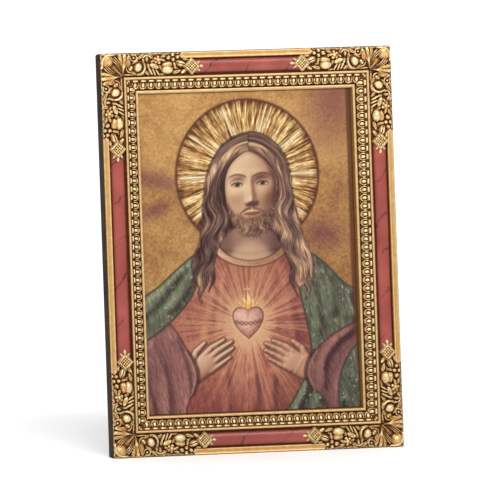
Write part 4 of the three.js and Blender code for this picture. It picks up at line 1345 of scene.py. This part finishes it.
def paint_picture(x, y):
    """All layers, from the ground up, and for every point the direction and strength of its brush marks."""
    front = face_within(x, y, FACE_HALF)
    on_skin, on_cloth = (1.8 * x, 1.4 * y, 0.15), (1.9 * x + 0.6 * y, 0.22 * y)
    picture = paint_ground(x, y)
    brush = np.stack([1.3 * (x + y), 1.0 * (x - y), np.full(x.shape, 0.30)], axis=-1)
    far, turn = from_centre(x, y, HALO_X, HALO_Y)
    picture, brush = add_layer(picture, brush, paint_halo(x, y, picture), turn * 78.0, far * 0.22, 1.5)
    picture, brush = add_layer(picture, brush, paint_rays(x, y, picture), turn * 50.0, far * 0.22, 0.3)
    far, turn = from_heart(x, y)
    picture, brush = add_layer(picture, brush, paint_robe(x, y, picture), turn * 60.0, far * 0.25, 0.5)
    picture, brush = add_layer(picture, brush, paint_collar(x, y, picture), *on_skin)
    picture = paint_heart(x, y, picture)
    layer = paint_mantle(x, y, picture, MANTLE_RIGHT, -0.06)
    picture, brush = add_layer(picture, brush, layer, *on_cloth, 0.8)
    layer = paint_hand(x, y, picture, (-36.0, -66.0), 34.0, 1, 0.06)
    layer = paint_hand(x, y, layer, (33.0, -66.0), 30.0, -1, 0.0)
    picture, brush = add_layer(picture, brush, layer, 1.6 * x, 1.6 * y, 0.15)
    layer = paint_mantle(x, y, paint_sleeves(x, y, picture), MANTLE_LEFT, -0.02)
    layer = paint_mantle(x, y, layer, MANTLE_OUTER, -0.08)
    picture, brush = add_layer(picture, brush, layer, *on_cloth, 0.7)
    layer, lock = paint_hair(x, y, picture, front)
    picture, brush = add_layer(picture, brush, layer, lock * 24.0, 0.22 * y, 1.2)
    picture, brush = add_layer(picture, brush, paint_face(x, y, picture, front), *on_skin)
    layer, turn, far = paint_beard(x, y, picture)
    picture, brush = add_layer(picture, brush, layer, turn * 34.0, far * 0.3, 0.9)
    picture, brush = add_layer(picture, brush, paint_mouth(x, y, picture), *on_skin)
    return np.clip(picture, 0.0, 1.0), brush


# %% [markdown]
# The card's grid is closest over the halo, the head and the hands, where the drawing is finest. Display
# colours become linear light for the shader. Along the card's right edge a painted shadow of the frame
# darkens the print, and along its top a painted light pales it a little against the frame's shadow there.

# %% The card
CARD_GAP = 0.3
CARD_X = WIDTH / 2 - TRAY_START - CARD_GAP
CARD_Y = HEIGHT / 2 - TRAY_START - CARD_GAP
PRINT_STRENGTH, TOP_PAINTED_LIGHT = 0.685, 0.38
PAINTED_SHADOW_WIDTH, PAINTED_SHADOW_COVER = 2.4, 0.8
BOARD_COLOUR = (0.5, 0.45, 0.38)


def card_axis(*spans):
    """Even steps within each span, given as its start and number of steps, up to the last span's start."""
    parts = [np.linspace(low, high, steps, endpoint=False)
             for (low, steps), (high, _) in zip(spans[:-1], spans[1:])]
    return np.concatenate([*parts, [spans[-1][0]]])


def linear_light(display):
    """The sRGB curve undone: a straight foot, and above it a power of 2.4."""
    return np.where(display <= 0.04045, display / 12.92, ((display + 0.055) / 1.055) ** 2.4)


def make_card():
    """A flat board with the picture's colours, painted shadow along its right edge, painted light along its
    top, and brush marks on the points of its front.
    """
    x, y = np.meshgrid(
        card_axis((-CARD_X, 30), (-42.0, 204), (42.0, 30), (CARD_X, 0)),
        card_axis((-CARD_Y, 42), (-60.0, 86), (-20.0, 38), (0.0, 192), (82.5, 6), (CARD_Y, 0)),
    )
    picture, marks = paint_picture(x, y)
    # Painted shadow of the frame, wider towards the top, darkens the print along the card's right edge.
    painted_shadow_from = CARD_X - PAINTED_SHADOW_WIDTH * ease(-90.0, -10.0, y)
    dark = PAINTED_SHADOW_COVER * ease(painted_shadow_from - 0.5, painted_shadow_from + 0.5, x)
    picture = over(picture, colour_of(96, 54, 36), dark)
    # Painted light makes the print a little paler along the card's top, against the frame's shadow there.
    strength = PRINT_STRENGTH * (1.0 + TOP_PAINTED_LIGHT * ease(CARD_Y - 2.6, CARD_Y - 1.0, y))
    points, faces, edge = on_base(x, y, np.full(x.shape, CARD_FACE), CARD_BACK)
    paint, brush = np.ones((x.size + edge.size, 4)), np.zeros((x.size + edge.size, 4))
    paint[:x.size, :3] = (strength[..., None] * linear_light(picture)).reshape(-1, 3)
    paint[x.size:, :3] = BOARD_COLOUR
    brush[:x.size, :3] = marks.reshape(-1, 3)
    return make_piece("printed_card", points, faces, crease=30.0, paint=paint, brush=brush)


picture_card = make_card()

# %% [markdown]
# ## The easel foot
# Nothing of the foot shows from the front. From behind it is a plain cast block: its side view follows the
# frame's leaning back and sweeps down in a hollow curve to a flat toe. It could be pushed into shape from a
# cube, but a side view drawn in the room's own axes and carried across the width gives the curve and the
# level underside exactly. A Bevel modifier takes the sharpness off its edges.

# %% The foot
FOOT_TOE, FOOT_WAIST, WAIST_DEPTH, FOOT_TOP_DEPTH, GLUE_GAP = 5.0, 27.0, 11.0, 1.5, 0.3
CURVE_STEPS, FOOT_ROUND, ROUND_SEGMENTS, FOOT_CREASE = 17, 0.9, 3, 30.0


def make_foot():
    """The rear edge is a quadratic Bezier curve: the toe, a waist that pulls it in, and the top."""
    low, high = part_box("easel_foot")
    half, heel, top = (high.x - low.x) / 2 / MM, high.y / MM, high.z / MM
    front = UNDERSIDE / 2 + GLUE_GAP / math.cos(LEAN)
    front_waist, front_top = front + FOOT_WAIST * math.tan(LEAN), front + top * math.tan(LEAN)
    up = np.array([FOOT_TOE, FOOT_WAIST, top])
    behind = np.array([heel, front_waist + WAIST_DEPTH, front_top + FOOT_TOP_DEPTH])
    t = np.linspace(0.0, 1.0, CURVE_STEPS)
    share = np.stack([(1 - t) ** 2, 2 * t * (1 - t), t ** 2])
    side_y = np.concatenate([[front, heel], behind @ share, [front_top]])
    side_z = np.concatenate([[0.0, 0.0], up @ share, [top]])
    x, y = np.meshgrid([-half, half], side_y, indexing="ij")
    points = np.stack([x, y, np.broadcast_to(side_z, x.shape)], axis=-1) * MM
    index = np.arange(x.size).reshape(x.shape)
    faces = quads(np.hstack([index, index[:, :1]])).tolist() + [index[0].tolist(), index[1, ::-1].tolist()]
    foot = make_piece("cast_foot", points, faces, crease=FOOT_CREASE)
    edge = foot.modifiers.new("rounded edges", "BEVEL")
    edge.width, edge.segments = FOOT_ROUND * MM, ROUND_SEGMENTS
    edge.limit_method, edge.angle_limit = "ANGLE", math.radians(FOOT_CREASE)
    return foot


cast_foot = make_foot()

# %% [markdown]
# ## Finishes
# The gilt and the crimson are read from the value that every point carries. On the gilt, patina lies where it
# is low, and bare bright colour where it is high. On the crimson, a low value gives painted shade towards the
# grooves. An ambient occlusion node could find the hollows instead, but it costs render time and can't tell a
# worn crest from a plain one. First come a few helpers. A node's inputs are given by name or number, each
# with a plain value or with the output that is linked to it.

# %% Helpers for shader nodes
def new_material(name):
    """A material, its nodes, and the surface that its colour goes to."""
    material = bpy.data.materials.new(name)
    material.use_nodes = True
    nodes = material.node_tree.nodes
    return material, nodes, nodes["Principled BSDF"]


def feed(node, inputs):
    """Each input gets a link from the output given for it, or else the plain value."""
    for place, source in inputs.items():
        if isinstance(source, bpy.types.NodeSocket):
            node.id_data.links.new(source, node.inputs[place])
        else:
            node.inputs[place].default_value = source
    return node


def carried(nodes, name, output):
    """What the mesh carries at its points under this name."""
    node = nodes.new("ShaderNodeAttribute")
    node.attribute_name = name
    return node.outputs[output]


def arithmetic(nodes, operation, *values):
    """The result of one operation on two or three numbers."""
    node = nodes.new("ShaderNodeMath")
    node.operation = operation
    return feed(node, dict(enumerate(values))).outputs["Value"]


def ramp(nodes, value, *stops):
    """A colour ramp from pairs of place and colour, read at the value."""
    node = nodes.new("ShaderNodeValToRGB")
    elements = node.color_ramp.elements
    for element, (place, colour) in zip(elements, (stops[0], stops[-1])):
        element.position, element.color = place, (*colour, 1.0)
    for place, colour in stops[1:-1]:
        elements.new(place).color = (*colour, 1.0)
    return feed(node, {"Fac": value}).outputs["Color"]


def noise(nodes, where, scale, detail):
    """Soft noise from 0 to 1, read at a place."""
    texture = nodes.new("ShaderNodeTexNoise")
    return feed(texture, {"Vector": where, "Scale": scale, "Detail": detail}).outputs["Fac"]


def object_place(nodes):
    """Where a point lies in the object's own coordinates, in metres."""
    return nodes.new("ShaderNodeTexCoord").outputs["Object"]


def multiplied(nodes, one, other):
    """One colour times another, channel by channel."""
    node = nodes.new("ShaderNodeMix")
    node.data_type, node.blend_type = "RGBA", "MULTIPLY"
    return feed(node, {"Factor": 1.0, "A": one, "B": other}).outputs["Result"]


def painted_shade_below(nodes, colour):
    """The colour under a painted shade that darkens it a little near the table, less higher up. The ramp is
    read by height in metres.
    """
    parts = feed(nodes.new("ShaderNodeSeparateXYZ"), {"Vector": object_place(nodes)})
    # Painted shade: darker near the table than higher up.
    shade_by_height = ramp(nodes, parts.outputs["Z"], (0.0, (0.82, 0.80, 0.78)), (0.2, (1.0, 1.0, 1.0)))
    return multiplied(nodes, colour, shade_by_height)


# %% [markdown]
# The gilt is antique gold paint: brown patina stays in the hollows, and the rubbed crests show cream. The
# crimson is a semi-gloss paint, cloudy and veined like marble, with painted shade along its grooves. The
# umber is matt. Noise clouds all three, and gilt and crimson get a painted shade that darkens them a little
# towards the table. The print is card with a satin varnish.

# %% Gilt, crimson, umber and print
def gilt_material():
    """The carried value plus a fifth of fine noise, turned into colour: brown, old gold, then cream."""
    material, nodes, surface = new_material("antique_gilt")
    cloud = noise(nodes, object_place(nodes), 420.0, 4.0)
    bright = arithmetic(nodes, "MULTIPLY_ADD", cloud, 0.22, carried(nodes, "proud", "Fac"))
    colour = ramp(
        nodes, bright, (0.0, (0.052, 0.015, 0.003)), (0.12, (0.120, 0.040, 0.012)),
        (0.34, (0.24, 0.102, 0.030)), (0.54, (0.445, 0.237, 0.076)), (0.73, (0.63, 0.355, 0.115)),
        (0.96, (0.87, 0.73, 0.43)),
    )
    feed(surface, {"Base Color": painted_shade_below(nodes, colour), "Metallic": 0.55, "Roughness": 0.42,
                   "Specular IOR Level": 0.15})
    return material


def crimson_material():
    """Crimson, cloudy, with painted shade that darkens it towards the grooves, and thin dark veins: the crests
    of a bent wave.
    """
    material, nodes, surface = new_material("crimson_paint")
    cloud = noise(nodes, object_place(nodes), 60.0, 4.0)
    colour = ramp(nodes, cloud, (0.3, (0.25, 0.042, 0.033)), (0.7, (0.37, 0.076, 0.058)))
    mirrored = nodes.new("ShaderNodeVectorMath")
    mirrored.operation = "MULTIPLY"
    feed(mirrored, {0: object_place(nodes), 1: (-1.0, 1.0, 1.0)})
    wave = nodes.new("ShaderNodeTexWave")
    wave.bands_direction = "DIAGONAL"
    feed(wave, {"Vector": mirrored.outputs["Vector"], "Scale": 27.0, "Distortion": 1.8, "Detail": 4.0,
                "Detail Scale": 5.0})
    crest = arithmetic(nodes, "MULTIPLY_ADD", cloud, -0.06, wave.outputs["Fac"])
    veins = ramp(nodes, crest, (0.957, (1.0, 1.0, 1.0)), (0.982, (0.15, 0.08, 0.07)))
    # Painted shade: the crimson darkens down the sides of the half-round towards the grooves, by the carried
    # height.
    edges = ramp(
        nodes, carried(nodes, "proud", "Fac"), (0.0, (0.26, 0.16, 0.14)), (0.3, (0.66, 0.62, 0.60)),
        (0.6, (0.88, 0.86, 0.85)), (0.95, (1.0, 1.0, 1.0)),
    )
    shaded = multiplied(nodes, multiplied(nodes, colour, veins), edges)
    feed(surface, {"Base Color": painted_shade_below(nodes, shaded), "Roughness": 0.33})
    return material


def umber_material():
    """Two dark browns, mixed by soft noise."""
    material, nodes, surface = new_material("dark_umber")
    cloud = noise(nodes, object_place(nodes), 90.0, 4.0)
    colour = ramp(nodes, cloud, (0.3, (0.020, 0.012, 0.007)), (0.75, (0.052, 0.032, 0.018)))
    feed(surface, {"Base Color": colour, "Roughness": 0.75, "Specular IOR Level": 0.12})
    return material


def print_material():
    """The painted colour, lighter and darker by fine brush marks: noise read in each layer's own directions,
    and as strong as the layer says."""
    material, nodes, surface = new_material("print")
    brush = feed(nodes.new("ShaderNodeSeparateColor"), {"Color": carried(nodes, "brush", "Color")}).outputs
    place = feed(nodes.new("ShaderNodeCombineXYZ"), {"X": brush["Red"], "Y": brush["Green"]})
    marks = arithmetic(nodes, "SUBTRACT", noise(nodes, place.outputs["Vector"], 1.0, 2.0), 0.5)
    strength = arithmetic(nodes, "MULTIPLY", brush["Blue"], 2.5)
    shaded = nodes.new("ShaderNodeVectorMath")
    shaded.operation = "SCALE"
    feed(shaded, {0: carried(nodes, "paint", "Color"),
                  "Scale": arithmetic(nodes, "MULTIPLY_ADD", marks, strength, 1.0)})
    feed(surface, {"Base Color": shaded.outputs["Vector"], "Roughness": 0.55, "Specular IOR Level": 0.15})
    return material


# %% [markdown]
# Every piece is part of the one rigid body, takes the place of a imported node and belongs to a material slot.

# %% Every piece gets its finish
finishes = [
    ("gilt", gilt_material(), [inner_moulding, *rails, *corners]),
    ("crimson", crimson_material(), panels),
    ("umber", umber_material(), [frame_body, cast_foot]),
    ("print", print_material(), [picture_card]),
]
replaced = {"printed_card": "picture_card", "cast_foot": "easel_foot"}
for slot_name, material, pieces in finishes:
    for piece in pieces:
        piece.data.materials.append(material)
        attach(piece, "root")
        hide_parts(replaced.get(piece.name, "frame"))
    print(slot_name, "on", ", ".join(piece.name for piece in pieces))

# %% [markdown]
# ## Light and floor
# A wide white floor fills the view behind and below the picture. The light is one broad soft source in front,
# half-way up and a little to the left. A smaller lamp on the right draws the shine along the half-round
# panels, and one high up behind leaves the soft shade on the floor before the frame. All are sun lamps over
# an even dim surround. Area lamps could light the frame as well, but they grow weaker with distance, and the
# floor has to stay as white far behind as beside it. Each lamp has its direction from the front, its height
# in degrees, its width in degrees and its strength.

# %% Light and floor
LAMPS = (("softbox", -17.0, 46.0, 44.0, 2.4), ("side_lamp", 27.0, 44.0, 14.0, 0.55),
         ("back_lamp", 165.0, 66.0, 40.0, 0.9))
SURROUND, FLOOR_HALF, FLOOR_WHITE = 0.38, 12.0, 0.95


def add_lamp(name, azimuth, elevation, spread, strength):
    """A sun lamp that shines from this direction. Its spread is how wide it looks in the sky."""
    light = bpy.data.lights.new(name, "SUN")
    light.energy, light.angle = strength, math.radians(spread)
    lamp = bpy.data.objects.new(name, light)
    level, turn = math.cos(math.radians(elevation)), math.radians(azimuth)
    towards = Vector((math.sin(turn) * level, -math.cos(turn) * level, math.sin(math.radians(elevation))))
    lamp.rotation_euler = towards.to_track_quat("Z", "Y").to_euler()
    bpy.context.collection.objects.link(lamp)


def add_floor():
    """One large white square on the table's level."""
    square = [(-FLOOR_HALF, -FLOOR_HALF, 0), (FLOOR_HALF, -FLOOR_HALF, 0), (FLOOR_HALF, FLOOR_HALF, 0),
              (-FLOOR_HALF, FLOOR_HALF, 0)]
    mesh = bpy.data.meshes.new("floor")
    mesh.from_pydata(square, [], [(0, 1, 2, 3)])
    floor = bpy.data.objects.new("floor", mesh)
    bpy.context.collection.objects.link(floor)
    material, _, surface = new_material("white_floor")
    feed(surface, {"Base Color": (FLOOR_WHITE, FLOOR_WHITE, FLOOR_WHITE, 1.0), "Roughness": 0.8})
    mesh.materials.append(material)


add_floor()
for lamp_values in LAMPS:
    add_lamp(*lamp_values)
world = bpy.data.worlds.new("studio")
bpy.context.scene.world = world
world.use_nodes = True
feed(world.node_tree.nodes["Background"], {"Color": (1.0, 1.0, 1.0, 1.0), "Strength": SURROUND})
bpy.context.scene.view_settings.view_transform = "Standard"
